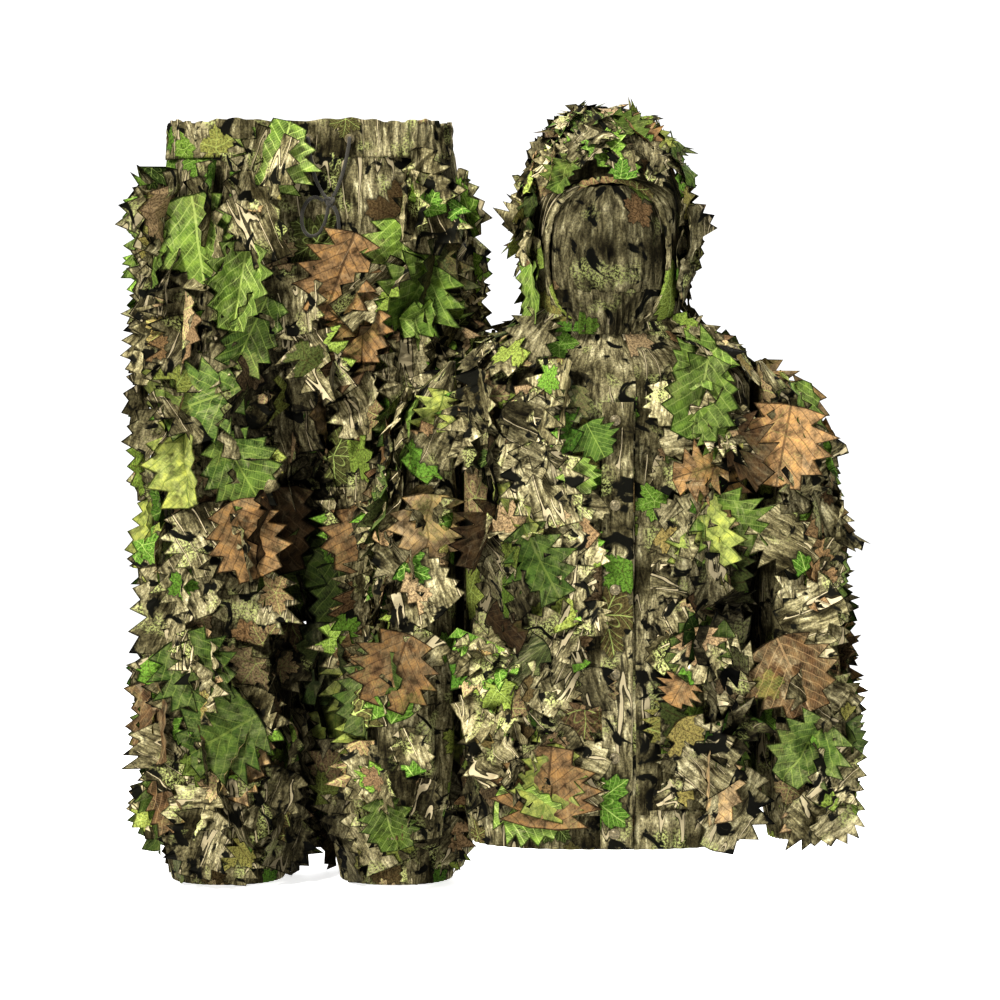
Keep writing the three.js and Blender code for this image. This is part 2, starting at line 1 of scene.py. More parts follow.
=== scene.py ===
import bpy
import numpy as np
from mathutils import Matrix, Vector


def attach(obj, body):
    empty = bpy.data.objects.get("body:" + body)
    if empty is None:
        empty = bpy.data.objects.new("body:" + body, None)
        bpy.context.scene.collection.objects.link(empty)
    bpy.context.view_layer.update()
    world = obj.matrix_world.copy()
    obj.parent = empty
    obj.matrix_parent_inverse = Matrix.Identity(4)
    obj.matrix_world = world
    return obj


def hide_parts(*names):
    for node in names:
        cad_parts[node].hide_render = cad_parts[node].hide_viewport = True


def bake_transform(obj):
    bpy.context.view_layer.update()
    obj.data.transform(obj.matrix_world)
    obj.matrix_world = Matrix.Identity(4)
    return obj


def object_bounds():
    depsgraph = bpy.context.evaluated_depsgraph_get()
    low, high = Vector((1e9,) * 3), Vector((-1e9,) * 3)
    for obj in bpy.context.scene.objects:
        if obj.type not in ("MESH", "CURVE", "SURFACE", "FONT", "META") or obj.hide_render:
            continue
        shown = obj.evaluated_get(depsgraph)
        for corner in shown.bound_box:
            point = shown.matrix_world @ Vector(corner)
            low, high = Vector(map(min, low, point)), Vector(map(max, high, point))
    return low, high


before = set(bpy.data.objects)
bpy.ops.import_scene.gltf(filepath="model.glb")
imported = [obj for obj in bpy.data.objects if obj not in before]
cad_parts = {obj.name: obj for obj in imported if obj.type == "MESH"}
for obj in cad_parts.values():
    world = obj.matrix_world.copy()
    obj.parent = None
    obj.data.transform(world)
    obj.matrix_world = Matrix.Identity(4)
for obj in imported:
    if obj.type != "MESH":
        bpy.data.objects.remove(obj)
cad_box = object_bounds()

# ---- Studio: a white paper floor in a white room, a long lens at chest height, and soft lamps ----
# The room's glow is weaker on the suit than it looks, so that the lamps model the cloth.
camera = bpy.data.objects.new("camera", bpy.data.cameras.new("camera"))
bpy.context.scene.collection.objects.link(camera)
camera.location = (0.02, -4.6, 0.83)
camera.rotation_euler = (np.radians(90 - 3.42), 0, 0)
camera.data.lens = 118.5
camera.data.sensor_width = 36
bpy.context.scene.camera = camera
bpy.context.scene.view_settings.view_transform = "Standard"
bpy.context.scene.view_settings.look = "Medium High Contrast"


def lamp(name, place, size, watts, colour):
    """A square soft box of the given side, aimed at the suit's middle."""
    data = bpy.data.lights.new(name, "AREA")
    data.size, data.energy, data.color = size, watts, colour
    box = bpy.data.objects.new(name, data)
    bpy.context.scene.collection.objects.link(box)
    aim = np.array([0, 0, 0.6]) - np.array(place)
    flat = np.hypot(aim[0], aim[1])
    box.location = place
    box.rotation_euler = (np.arctan2(flat, -aim[2]), 0, np.arctan2(aim[1], aim[0]) - np.pi / 2)


lamp("key_softbox", (-1.9, -3.0, 3.4), 0.7, 310, (1, 0.98, 0.94))
lamp("fill_softbox", (2.6, -3.2, 1.4), 2.2, 48, (0.96, 0.98, 1))
lamp("back_softbox", (1.0, 3.4, 2.6), 2.0, 75, (1, 1, 1))
lamp("top_softbox", (0.1, 0.2, 3.2), 1.8, 80, (1, 1, 1))
room_glow, room_seen = 0.26, 1.0
bpy.context.scene.world = bpy.data.worlds.new("studio")
bpy.context.scene.world.use_nodes = True
world_tree = bpy.context.scene.world.node_tree
surround = world_tree.nodes["Background"]
surround.inputs["Color"].default_value = (1, 1, 1, 1)
seen = world_tree.nodes.new("ShaderNodeLightPath").outputs["Is Camera Ray"]
glow = world_tree.nodes.new("ShaderNodeMapRange")
glow.inputs["To Min"].default_value, glow.inputs["To Max"].default_value = room_glow, room_seen
world_tree.links.new(seen, glow.inputs["Value"])
world_tree.links.new(glow.outputs["Result"], surround.inputs["Strength"])


def grid_mesh(name, points, loop=False, print_map=None):
    """A mesh of quads on a grid of points, rows by columns. A looped grid joins its last column to its first.
    print_map gives each grid corner its place on the flat cloth, with one column more on a looped grid."""
    rows, columns = points.shape[:2]
    wide = columns if loop else columns - 1
    i, j = np.meshgrid(np.arange(rows - 1), np.arange(wide), indexing="ij")
    k = (j + 1) % columns
    quads = np.stack([i * columns + j, i * columns + k, (i + 1) * columns + k, (i + 1) * columns + j], -1)
    mesh = bpy.data.meshes.new(name)
    mesh.from_pydata(points.reshape(-1, 3).tolist(), [], quads.reshape(-1, 4).tolist())
    if print_map is not None:
        layer = mesh.uv_layers.new(name="Print")
        corners = np.stack([print_map[i, j], print_map[i, j + 1], print_map[i + 1, j + 1],
                            print_map[i + 1, j]], 2)
        layer.data.foreach_set("uv", corners.reshape(-1).astype(np.float32))
    mesh.shade_smooth()
    piece = bpy.data.objects.new(name, mesh)
    bpy.context.scene.collection.objects.link(piece)
    return piece


floor_edge = np.linspace(-2.6, 2.6, 3)
floor_x, floor_y = np.meshgrid(floor_edge, floor_edge)
paper = grid_mesh("paper_floor", np.stack([floor_x, floor_y, 0 * floor_x], -1))
paper_finish = bpy.data.materials.new("white_paper")
paper_finish.use_nodes = True
paper_shader = paper_finish.node_tree.nodes["Principled BSDF"]
paper_shader.inputs["Base Color"].default_value = (0.93, 0.93, 0.93, 1)
paper_shader.inputs["Roughness"].default_value = 0.9
paper_shader.inputs["Emission Color"].default_value = (1, 1, 1, 1)
paper_shader.inputs["Emission Strength"].default_value = 0.65
paper.data.materials.append(paper_finish)

# ---- Drawcord: round braided cord, out of two waistband eyelets to a knot, a loop and a tail ----
# It runs inside the waistband between the eyelets, and the knot keeps it from pulling back through.
TROUSERS = np.array([-0.252, 0.134, 0])
CORD_ACROSS = 0.005
waist_top = 1.082
cord_front = -(0.117 + CORD_ACROSS / 2 + 0.0009)
cord_out = -0.0013
# Millimetres: place across, how far in front of the hanging cord's face, and drop from the waist.
cord_routes = {
    "drawcord_right": [(4, cord_out * 1e3, 23), (4, cord_out * 1e3 + 4, 23), (6, 3.5, 34), (9, 1, 57),
                       (15, 0, 80), (24, 1, 98), (28.5, 3, 104)],
    "drawcord_left": [(62, cord_out * 1e3, 23), (62, cord_out * 1e3 + 4, 23), (61, 3.5, 34), (56, 1, 57),
                      (50, 0, 78), (43, 1, 96), (39, 3, 103)],
    "drawcord_loop": [(25.4, 5, 109), (14, 4, 104), (3, 2, 110), (-4, 1, 125), (-4, 1, 144), (4, 1, 157),
                      (17, 1, 156), (26, 2, 143), (30.5, 4, 128), (31.9, 5, 118.4)],
    "drawcord_tail": [(39.6, 5, 116.7), (45, 2, 128), (47, 1, 147), (46, 0, 167), (49, 0, 187), (48, 0, 206),
                      (50, 0, 216)],
}


def smooth_route(points, each=8):
    """A curve through the points. Each stretch is a cubic whose end slopes follow the points beside it."""
    p = np.vstack([2 * points[0] - points[1], points, 2 * points[-1] - points[-2]])
    t = np.linspace(0, 1, each, endpoint=False)[:, None]
    a, b, c, d = p[:-3, None], p[1:-2, None], p[2:-1, None], p[3:, None]
    curve = 0.5 * (2 * b + (c - a) * t + (2 * a - 5 * b + 4 * c - d) * t**2 + (3 * b - a - 3 * c + d) * t**3)
    return np.vstack([curve.reshape(-1, 3), points[-1]])


def full_turn(count):
    """Evenly spaced angles round a whole turn."""
    return np.linspace(0, 2 * np.pi, count, endpoint=False)


def node(tree, kind, inputs=None, **settings):
    """A shader node with its settings and inputs. A socket given as an input is linked."""
    made = tree.nodes.new("ShaderNode" + kind)
    for key, value in settings.items():
        setattr(made, key, value)
    for key, value in (inputs or {}).items():
        if isinstance(value, bpy.types.NodeSocket):
            tree.links.new(value, made.inputs[key])
        else:
            made.inputs[key].default_value = value
    return made


def calc(tree, operation, *values, clamp=False):
    """One arithmetic step on numbers or sockets, kept from 0 to 1 where clamp is set."""
    return node(tree, "Math", dict(enumerate(values)), operation=operation, use_clamp=clamp).outputs[0]


def times(tree, first, second, clamp=False):
    """The product of two numbers or sockets, kept from 0 to 1 where clamp is set."""
    return calc(tree, "MULTIPLY", first, second, clamp=clamp)


def less(tree, first, second):
    """The first number or socket less the second."""
    return calc(tree, "SUBTRACT", first, second)


def past(tree, value, start, steep):
    """How far a value is past a start, times a steepness, kept from 0 to 1."""
    return times(tree, less(tree, value, start), steep, clamp=True)


def blended(tree, share, first, second, kind="MIX"):
    """The first colour mixed with the second by the share, or multiplied by it."""
    return node(tree, "MixRGB", {0: share, 1: first, 2: second}, blend_type=kind).outputs[0]


def ramp(tree, share, *stops):
    """A colour ramp of (place, red, green, blue) stops."""
    made = node(tree, "ValToRGB", {0: share})
    while len(made.color_ramp.elements) < len(stops):
        made.color_ramp.elements.new(0.5)
    for stop, element in zip(stops, made.color_ramp.elements):
        element.position = stop[0]
        element.color = (*stop[1:], 1)
    return made.outputs[0]


def noise(tree, place, scale, detail, roughness=0.5, distortion=0.0):
    """Fractal noise from 0 to 1: octaves of smooth noise, each twice as fine and weaker by the roughness."""
    return node(tree, "TexNoise", {"Vector": place, "Scale": scale, "Detail": detail, "Roughness": roughness,
                                   "Distortion": distortion}).outputs["Fac"]


def finish_of(name, roughness):
    """A new material with its node tree and its shader."""
    material = bpy.data.materials.new(name)
    material.use_nodes = True
    shader = material.node_tree.nodes["Principled BSDF"]
    shader.inputs["Roughness"].default_value = roughness
    return material, material.node_tree, shader


cord_finish, tree, shader = finish_of("braided_cord", 0.85)
shader.inputs["Sheen Weight"].default_value = 0.2
place = node(tree, "TexCoord").outputs["Object"]
braid = node(tree, "TexWave", {"Vector": place, "Scale": 260, "Distortion": 1.5, "Detail": 1.0},
             bands_direction="DIAGONAL").outputs["Fac"]
grime = noise(tree, place, 90, 3)
tree.links.new(
    blended(tree, 0.6, ramp(tree, braid, (0.2, 0.006, 0.006, 0.004), (0.8, 0.042, 0.037, 0.024)),
            ramp(tree, grime, (0.35, 0.010, 0.009, 0.006), (0.7, 0.036, 0.031, 0.021))),
    shader.inputs["Base Color"],
)
tree.links.new(node(tree, "Bump", {"Height": braid, "Strength": 0.5, "Distance": 0.0006}).outputs[0],
               shader.inputs["Normal"])

knot_middle = TROUSERS + np.array([0.034, -(0.117 + 0.008 + 0.0006), waist_top - 0.110])
turn = full_turn(72)
knot_line = knot_middle + 0.0021 * np.stack(
    [np.sin(turn) + 2 * np.sin(2 * turn), 0.9 * -np.sin(3 * turn), np.cos(turn) - 2 * np.cos(2 * turn)], -1
)


def tube_along(line, radius, sides=10, closed=False):
    """Rings of points round a line: each ring lies square to the line's direction there."""
    ahead = np.roll(line, -1, 0) - np.roll(line, 1, 0) if closed else np.gradient(line, axis=0)
    ahead /= np.linalg.norm(ahead, axis=1, keepdims=True)
    side = np.cross(ahead, [0.13, 0.98, 0.11])
    side /= np.linalg.norm(side, axis=1, keepdims=True)
    up = np.cross(ahead, side)
    round_ = full_turn(sides)[None, :, None]
    return line[:, None] + radius * (np.cos(round_) * side[:, None] + np.sin(round_) * up[:, None])


rings = tube_along(knot_line, 0.0023, closed=True)
knot = grid_mesh("drawcord_knot_tied", np.concatenate([rings, rings[:1]]), loop=True)
knot.data.materials.append(cord_finish)
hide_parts("drawcord_knot")
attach(knot, "trousers_seat")
for name, route in cord_routes.items():
    across, ahead, drop = np.array(route).T / 1e3
    line = smooth_route(TROUSERS + np.stack([across, cord_front - ahead, waist_top - drop], -1), 5)
    data = bpy.data.curves.new(name + "_cord", "CURVE")
    data.dimensions = "3D"
    data.bevel_depth = CORD_ACROSS / 2
    data.bevel_resolution = 3
    data.use_fill_caps = True
    spline = data.splines.new("POLY")
    spline.points.add(len(line) - 1)
    spline.points.foreach_set("co", np.hstack([line, np.ones((len(line), 1))]).ravel())
    data.materials.append(cord_finish)
    cord = bpy.data.objects.new(name + "_cord", data)
    bpy.context.scene.collection.objects.link(cord)
    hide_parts(name)
    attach(cord, "trousers_seat")

# ---- Trouser seat: printed polyester cloth in a front and a back, joined by side seams ----
# The cloth hangs in loose upright folds from the gathered waist. The print is bark, fallen leaves and lichen.


def between(stations, z):
    """Middle, width and depth at height z: read straight between stations, then averaged over 40 mm."""
    table = np.array(stations)
    nearby = np.asarray(z, float)[..., None] + np.linspace(-0.02, 0.02, 5)
    return [np.interp(nearby, table[:, 0], table[:, k]).mean(-1) for k in range(1, 5)]


def tube(origin, stations, squareness, flat=np.inf):
    """A tube of rounded sections. A section's point at an angle is half its width times |cos| to the power
    2 / squareness across, and half its depth times |sin| to that power along, cut off flat at the front."""

    def surface(angle, z, out=0.0):
        x, y, width, depth = between(stations, z)
        power = 2 / squareness
        right = (width / 2 + out) * np.sign(np.cos(angle)) * np.abs(np.cos(angle)) ** power
        back = (depth / 2 + out) * np.sign(np.sin(angle)) * np.abs(np.sin(angle)) ** power
        back = np.maximum(back, -flat - out)
        return np.stack([origin[0] + x + right, origin[1] + y + back, np.broadcast_to(z, right.shape)], -1)

    return surface


def folds(seed, deep, waves=(3, 15), count=9, lean=7.0):
    """Upright folds: a sum of sine waves round the tube, each of which drifts sideways as it goes down. A
    hyperbolic tangent keeps the sum within one and a half times the depth."""
    rng = np.random.default_rng(seed)
    turns, phase = rng.integers(*waves, count), rng.uniform(0, 2 * np.pi, count)
    drift, size = rng.normal(0, lean, count), deep * rng.uniform(0.4, 1, count) / np.sqrt(count)

    def height(angle, z):
        a, h = np.asarray(angle)[..., None], np.asarray(z)[..., None]
        total = (size * np.sin(turns * a + phase + drift * h + 1.4 * np.sin(11 * h + 2 * phase))).sum(-1)
        return 1.5 * deep * np.tanh(total / (1.5 * deep))

    return height


def cloth_map(points, loop):
    """Each grid corner's place on the flat cloth: the mean length walked along its row and up its column."""
    closed = np.concatenate([points, points[:, :1]], 1) if loop else points
    across = np.linalg.norm(np.diff(closed, axis=1), axis=2).mean(0).cumsum()
    upward = np.linalg.norm(np.diff(closed, axis=0), axis=2).mean(1).cumsum()
    u, v = np.meshgrid(np.r_[0, across], np.r_[0, upward])
    return np.stack([u, v], -1)


def net(heights, angles):
    """The height and the angle of each point of a grid, rows by columns."""
    return np.meshgrid(heights, angles, indexing="ij")


def cloth(name, surface, angle, z, fold, finish, nodes, thick=0.0022, out=-0.003, loop=False,
          shift=(0, 0)):
    """A panel of cloth on a surface, moved in and out by its folds, with a wall turned inwards."""
    points = surface(angle, z, out + fold(angle, z))
    piece = grid_mesh(name, points, loop, cloth_map(points, loop) + np.array(shift))
    wall = piece.modifiers.new("cloth_wall", "SOLIDIFY")
    wall.thickness, wall.offset = thick, -1
    piece.data.materials.append(finish)
    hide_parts(*nodes)
    return piece


def camouflage(tree, place):
    """Printed bark with upright grain, black gaps, twigs, moss, and lobed leaves with ribs, on the flat cloth
    in metres. A leaf's edge is a radius round its cell's middle that swings five times a turn, plus teeth."""
    wander = node(tree, "TexNoise", {"Vector": place, "Scale": 14, "Detail": 3}).outputs["Color"]
    bent = node(tree, "VectorMath", {0: wander, 1: (0.010, 0.012, 0), 2: place},
                operation="MULTIPLY_ADD").outputs[0]
    grain = node(tree, "Mapping", {"Vector": bent, "Scale": (150, 36, 1)}).outputs[0]
    streak = noise(tree, grain, 1, 6, 0.66, 0.5)
    colour = ramp(tree, streak, (0.30, 0.012, 0.010, 0.006), (0.41, 0.085, 0.074, 0.044),
                  (0.50, 0.19, 0.17, 0.105), (0.59, 0.33, 0.30, 0.195), (0.70, 0.66, 0.62, 0.44))
    patch = ramp(tree, noise(tree, place, 11, 3), (0.38, 0.16, 0.15, 0.11), (0.49, 0.68, 0.66, 0.55),
                 (0.62, 1.25, 1.22, 1.1))
    colour = blended(tree, 1.0, colour, patch, "MULTIPLY")
    fine = noise(tree, place, 300, 4, 0.7)
    mottle = ramp(tree, fine, (0.38, 0.35, 0.35, 0.35), (0.5, 0.95, 0.95, 0.95), (0.62, 1.45, 1.45, 1.35))
    colour = blended(tree, 0.75, colour, mottle, "MULTIPLY")
    mossy = node(tree, "TexNoise", {"Vector": bent, "Scale": 16, "Detail": 2, "W": 2.0},
                 noise_dimensions="4D").outputs["Fac"]
    moss = times(tree, past(tree, fine, 0.48, 14), past(tree, mossy, 0.55, 14))
    colour = blended(tree, times(tree, moss, 0.85), colour, (0.40, 0.44, 0.16, 1))
    slant = node(tree, "Mapping", {"Vector": bent, "Rotation": (0, 0, 0.75), "Scale": (34, 5, 1)}).outputs[0]
    off_twig = calc(tree, "ABSOLUTE", less(tree, noise(tree, slant, 1, 1.5), 0.5))
    thicket = node(tree, "TexNoise", {"Vector": place, "Scale": 7, "Detail": 1, "W": 5.0},
                   noise_dimensions="4D").outputs["Fac"]
    grown = calc(tree, "GREATER_THAN", thicket, 0.52)
    for width, paint in ((0.022, (0.012, 0.010, 0.006, 1)), (0.011, (0.47, 0.40, 0.25, 1))):
        twig = times(tree, calc(tree, "LESS_THAN", off_twig, width), grown)
        colour = blended(tree, times(tree, twig, 0.8), colour, paint)
    gaps = past(tree, 0.435, noise(tree, bent, 24, 4, distortion=1.2), 22)
    colour = blended(tree, gaps, colour, (0.006, 0.006, 0.004, 1))
    for size, seed, share in ((8.8, 0.0, 0.33), (15.0, 3.7, 0.28)):
        spot = node(tree, "VectorMath", {0: bent, 1: (seed, seed, 0)}, operation="ADD").outputs[0]
        cell = node(tree, "TexVoronoi", {"Vector": spot, "Scale": size, "Randomness": 0.8},
                    voronoi_dimensions="2D")
        local = node(tree, "VectorMath", {0: spot, 1: cell.outputs["Position"]},
                     operation="SUBTRACT").outputs[0]
        part = node(tree, "SeparateXYZ", {0: local})
        luck = node(tree, "SeparateColor", {0: cell.outputs["Color"]})
        heading = calc(tree, "ARCTAN2", part.outputs[1], part.outputs[0])
        turned = calc(tree, "MULTIPLY_ADD", luck.outputs[0], 6.283, heading)
        away = node(tree, "VectorMath", {0: local}, operation="LENGTH").outputs["Value"]
        leaf_size = calc(tree, "MULTIPLY_ADD", luck.outputs[1], 0.5, 0.75)
        reach = calc(tree, "DIVIDE", times(tree, away, size), leaf_size)
        swing = times(tree, turned, 2.5)
        lobe = calc(tree, "ABSOLUTE", calc(tree, "COSINE", swing))
        tooth = calc(tree, "PINGPONG", times(tree, turned, 3.0), 0.5)
        edge = calc(tree, "MULTIPLY_ADD", tooth, 0.13, calc(tree, "MULTIPLY_ADD", lobe, 0.17, 0.20))
        room = less(tree, edge, reach)
        grows = calc(tree, "LESS_THAN", luck.outputs[2], share)
        inside = times(tree, times(tree, room, 60, clamp=True), grows)
        shade = times(tree, past(tree, room, -0.05, 18), grows)
        aside = times(tree, calc(tree, "ABSOLUTE", calc(tree, "SINE", swing)), reach)
        rib = calc(tree, "LESS_THAN", aside, 0.014)
        vein = calc(tree, "FRACT", times(tree, less(tree, reach, times(tree, aside, 0.6)), 15))
        ribs = calc(tree, "MAXIMUM", rib, times(tree, calc(tree, "LESS_THAN", vein, 0.13), 0.6))
        leaf = ramp(tree, calc(tree, "FRACT", times(tree, luck.outputs[0], 7)), (0.0, 0.05, 0.11, 0.016),
                    (0.2, 0.11, 0.20, 0.03), (0.36, 0.19, 0.21, 0.05), (0.5, 0.20, 0.125, 0.06),
                    (0.68, 0.29, 0.215, 0.12), (0.85, 0.10, 0.06, 0.03), (1.0, 0.04, 0.065, 0.016))
        rib_colour = blended(tree, calc(tree, "GREATER_THAN", luck.outputs[0], 0.5), (0.40, 0.50, 0.15, 1),
                             (0.05, 0.025, 0.012, 1))
        ribbed = blended(tree, times(tree, ribs, 0.55), blended(tree, 1.0, leaf, mottle, "MULTIPLY"),
                         rib_colour)
        colour = blended(tree, times(tree, shade, 0.85), colour, (0.008, 0.007, 0.004, 1))
        colour = blended(tree, inside, colour, ribbed)
    return colour


def cloth_finish(name, tone_and_shade, weave=2200.0, dents=70.0):
    """Matt printed polyester: the camouflage print times a tone, partly painted shade, a fine weave and small
    dents as bump.
    """
    material, tree, shader = finish_of(name, 0.86)
    place = node(tree, "UVMap", uv_map="Print").outputs["UV"]
    colour = camouflage(tree, place)
    # The print is darkened by the tone, which is painted shade for cloth that lies in the shade of the flaps.
    toned = blended(tree, 1.0, colour, (tone_and_shade, tone_and_shade, tone_and_shade, 1), "MULTIPLY")
    tree.links.new(toned, shader.inputs["Base Color"])
    threads = node(tree, "TexChecker", {"Vector": place, "Scale": weave}).outputs["Fac"]
    dent = node(tree, "TexNoise", {"Vector": place, "Scale": dents, "Detail": 3}).outputs["Fac"]
    rise = calc(tree, "ADD", times(tree, threads, 0.06), dent)
    tree.links.new(node(tree, "Bump", {"Height": rise, "Strength": 0.45, "Distance": 0.004}).outputs[0],
                   shader.inputs["Normal"])
    shader.inputs["Specular IOR Level"].default_value = 0.06
    return material


# The base cloth is darkened to 0.8, painted shade for cloth that lies under the flaps; the edge bands to 0.85.
printed_cloth = cloth_finish("printed_cloth", 0.8)
edge_cloth = cloth_finish("gathered_edge_cloth", 0.85)
seat_stations = [(0.70, 0, 0, 0.462, 0.240), (0.765, 0, 0, 0.464, 0.246), (0.85, 0, 0, 0.458, 0.264),
                 (0.943, 0, 0, 0.434, 0.258), (1.036, 0, 0, 0.412, 0.248), (1.082, 0, 0, 0.408, 0.246)]
seat = tube(TROUSERS, seat_stations, 2.4, 0.117)
seat_fold = folds(11, 0.008)
for name, start in (("seat_front", np.pi), ("seat_back", 0.0)):
    z, angle = net(np.linspace(0.762, 1.04, 60), start + np.linspace(0, np.pi, 110))
    piece = cloth(name + "_cloth", seat, angle, z, seat_fold, printed_cloth, [name],
                  shift=(start, 0))
    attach(piece, "trousers_seat")

# ---- Waistband: elastic inside a folded casing of the same cloth ----
# The elastic draws the cloth into fine upright gathers, and two eyelets let the drawcord out at the front.
BAND_LOW, BAND_TALL = 1.034, 0.052
z, angle = net(np.linspace(BAND_LOW, 1.086, 14), full_turn(360))


def gathers(angle, z):
    """Fine gathers round the band in three swells, with a row of stitching drawn in along the middle."""
    row = (z - BAND_LOW) / BAND_TALL
    ruck = 0.0022 * np.sin(74 * angle + 3 * np.sin(5 * angle)) + 0.0012 * np.sin(41 * angle + 9 * row)
    stitches = np.exp(-((row - 0.5) / 0.06) ** 2)
    return 0.001 + ruck * (0.5 + 0.5 * np.abs(np.sin(3 * np.pi * row))) - 0.0012 * stitches


top_ruck = 0.0012 * np.sin(37 * angle) * (z > 1.08)
z = z + 0.0022 * np.sin(9 * angle + 1) * (z - BAND_LOW) / BAND_TALL + top_ruck
waistband = cloth("waistband_casing", seat, angle, z, gathers, edge_cloth, ["waistband"],
                  0.0035, loop=True)
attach(waistband, "trousers_seat")

# ---- Legs: two loose tubes, each a hip part, a lower part and a gathered cuff ----
# The hip part starts inside the seat.
leg_fold = folds(23, 0.010, (2, 13), 10, 6)
legs = {}


def leg_gathers(angle, z):
    """Fine gathers round the cuff, shallower towards its end."""
    return 0.003 + 0.0028 * np.sin(46 * angle + 2 * np.sin(3 * angle)) * np.clip(z / 0.03, 0.3, 1)


for side, k in (("left", 1), ("right", -1)):
    stations = [(0.0, k * 0.122, 0, 0.160, 0.162), (0.048, k * 0.122, 0, 0.176, 0.174),
                (0.10, k * 0.121, 0, 0.196, 0.190), (0.22, k * 0.121, 0, 0.197, 0.189),
                (0.40, k * 0.12, 0, 0.204, 0.2), (0.60, k * 0.119, 0, 0.214, 0.218),
                (0.765, k * 0.119, 0, 0.224, 0.234), (0.82, k * 0.117, 0, 0.218, 0.226)]
    leg = legs[side] = tube(TROUSERS, stations, 2.2)
    z, angle = net(np.linspace(0.59, 0.80, 40), full_turn(150))
    hip = cloth(f"{side}_hip_cloth", leg, angle, z, leg_fold, printed_cloth,
                [f"{side}_thigh_front", f"{side}_thigh_back"], loop=True, shift=(k, 0.59))
    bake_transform(hip)
    z, angle = net(np.linspace(0.046, 0.59, 110), full_turn(150))
    shank = cloth(f"{side}_leg_cloth", leg, angle, z, leg_fold, printed_cloth,
                  [f"{side}_shin_front", f"{side}_shin_back"], loop=True, shift=(k, 0.046))
    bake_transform(shank)
    z, angle = net(np.linspace(0.002, 0.052, 12), full_turn(260))
    cuff = cloth(f"{side}_leg_cuff_gather", leg, angle, z, leg_gathers, edge_cloth,
                 [f"{side}_leg_cuff"], 0.003, loop=True)
    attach(cuff, f"{side}_shin")

# ---- Leaf flaps on the trousers: die-cut pieces of the printed cloth, each stitched down its midrib ----
# They hang in upright columns. Both halves lift off the cloth and curl, so that their teeth stand out. Those
# that the left leg carries behind the jacket lie flatter, so that it can swing.
# Half the width of a flap in each row down its midrib, over its length. Every other row ends in a tooth.
FLAP_ROWS, FLAP_ACROSS = 11, 5
OUTLINES = np.array([
    [0.12, 0.42, 0.30, 0.58, 0.42, 0.64, 0.44, 0.56, 0.34, 0.34, 0.02],
    [0.08, 0.30, 0.22, 0.46, 0.33, 0.53, 0.37, 0.50, 0.29, 0.32, 0.02],
    [0.18, 0.52, 0.34, 0.68, 0.44, 0.70, 0.42, 0.56, 0.30, 0.30, 0.02],
    [0.24, 0.42, 0.31, 0.46, 0.33, 0.48, 0.34, 0.46, 0.32, 0.40, 0.12],
    [0.06, 0.38, 0.18, 0.56, 0.28, 0.62, 0.31, 0.54, 0.24, 0.32, 0.02],
])
# Each sort of flap: leaf colour, rib colour, how much of it is one whole printed leaf, and its share of all.
SORTS = [
    ((0.10, 0.09, 0.06), (0.2, 0.2, 0.1), 0.0, 0.79),
    ((0.052, 0.090, 0.020), (0.20, 0.26, 0.06), 0.82, 0.055),
    ((0.098, 0.160, 0.030), (0.32, 0.40, 0.11), 0.82, 0.03),
    ((0.20, 0.225, 0.060), (0.07, 0.11, 0.02), 0.85, 0.02),
    ((0.195, 0.118, 0.055), (0.028, 0.014, 0.008), 0.85, 0.03),
    ((0.29, 0.205, 0.11), (0.08, 0.045, 0.022), 0.8, 0.02),
    ((0.075, 0.044, 0.022), (0.20, 0.13, 0.065), 0.8, 0.03),
    ((0.022, 0.030, 0.011), (0.08, 0.10, 0.03), 0.8, 0.025),
]


def folded(surface, fold):
    """The same tube with its folds in it."""
    return lambda angle, z, out=0.0: surface(angle, z, out + fold(angle, z))


def in_columns(seed, angles, heights, around, apart=0.055, step=0.066, stray=0.26):
    """Places on a tube of the given radius: upright columns, each apart from the next, with a flap every step
    down, half a step lower in every other column, and all of it a little astray."""
    rng = np.random.default_rng(seed)
    columns = max(1, round((angles[1] - angles[0]) * around / apart))
    wide = (angles[1] - angles[0]) / columns
    z, column = net(np.arange(heights[0] + step * 0.6, heights[1], step), np.arange(columns))
    angle = angles[0] + (column + 0.5 + rng.uniform(-stray, stray, z.shape)) * wide
    return angle.ravel(), (z + (rng.uniform(-stray, stray, z.shape) - 0.5 * (column % 2)) * step).ravel()


def room_for(place, step, nearest, furthest):
    """The largest share of each flap's steps from its places that stays inside the box, one number a flap."""
    free = np.where(step > 0, furthest - place, nearest - place)
    share = np.divide(free, step, out=np.ones_like(step), where=np.abs(step) > 1e-5)
    return share.min((1, 2, 3), keepdims=True)


def stored(mesh, key, kind, values):
    """One value or colour for each point of the mesh, for its material to read."""
    field = "color" if kind == "FLOAT_COLOR" else "value"
    mesh.attributes.new(key, kind, "POINT").data.foreach_set(field, values.ravel().astype(np.float32))


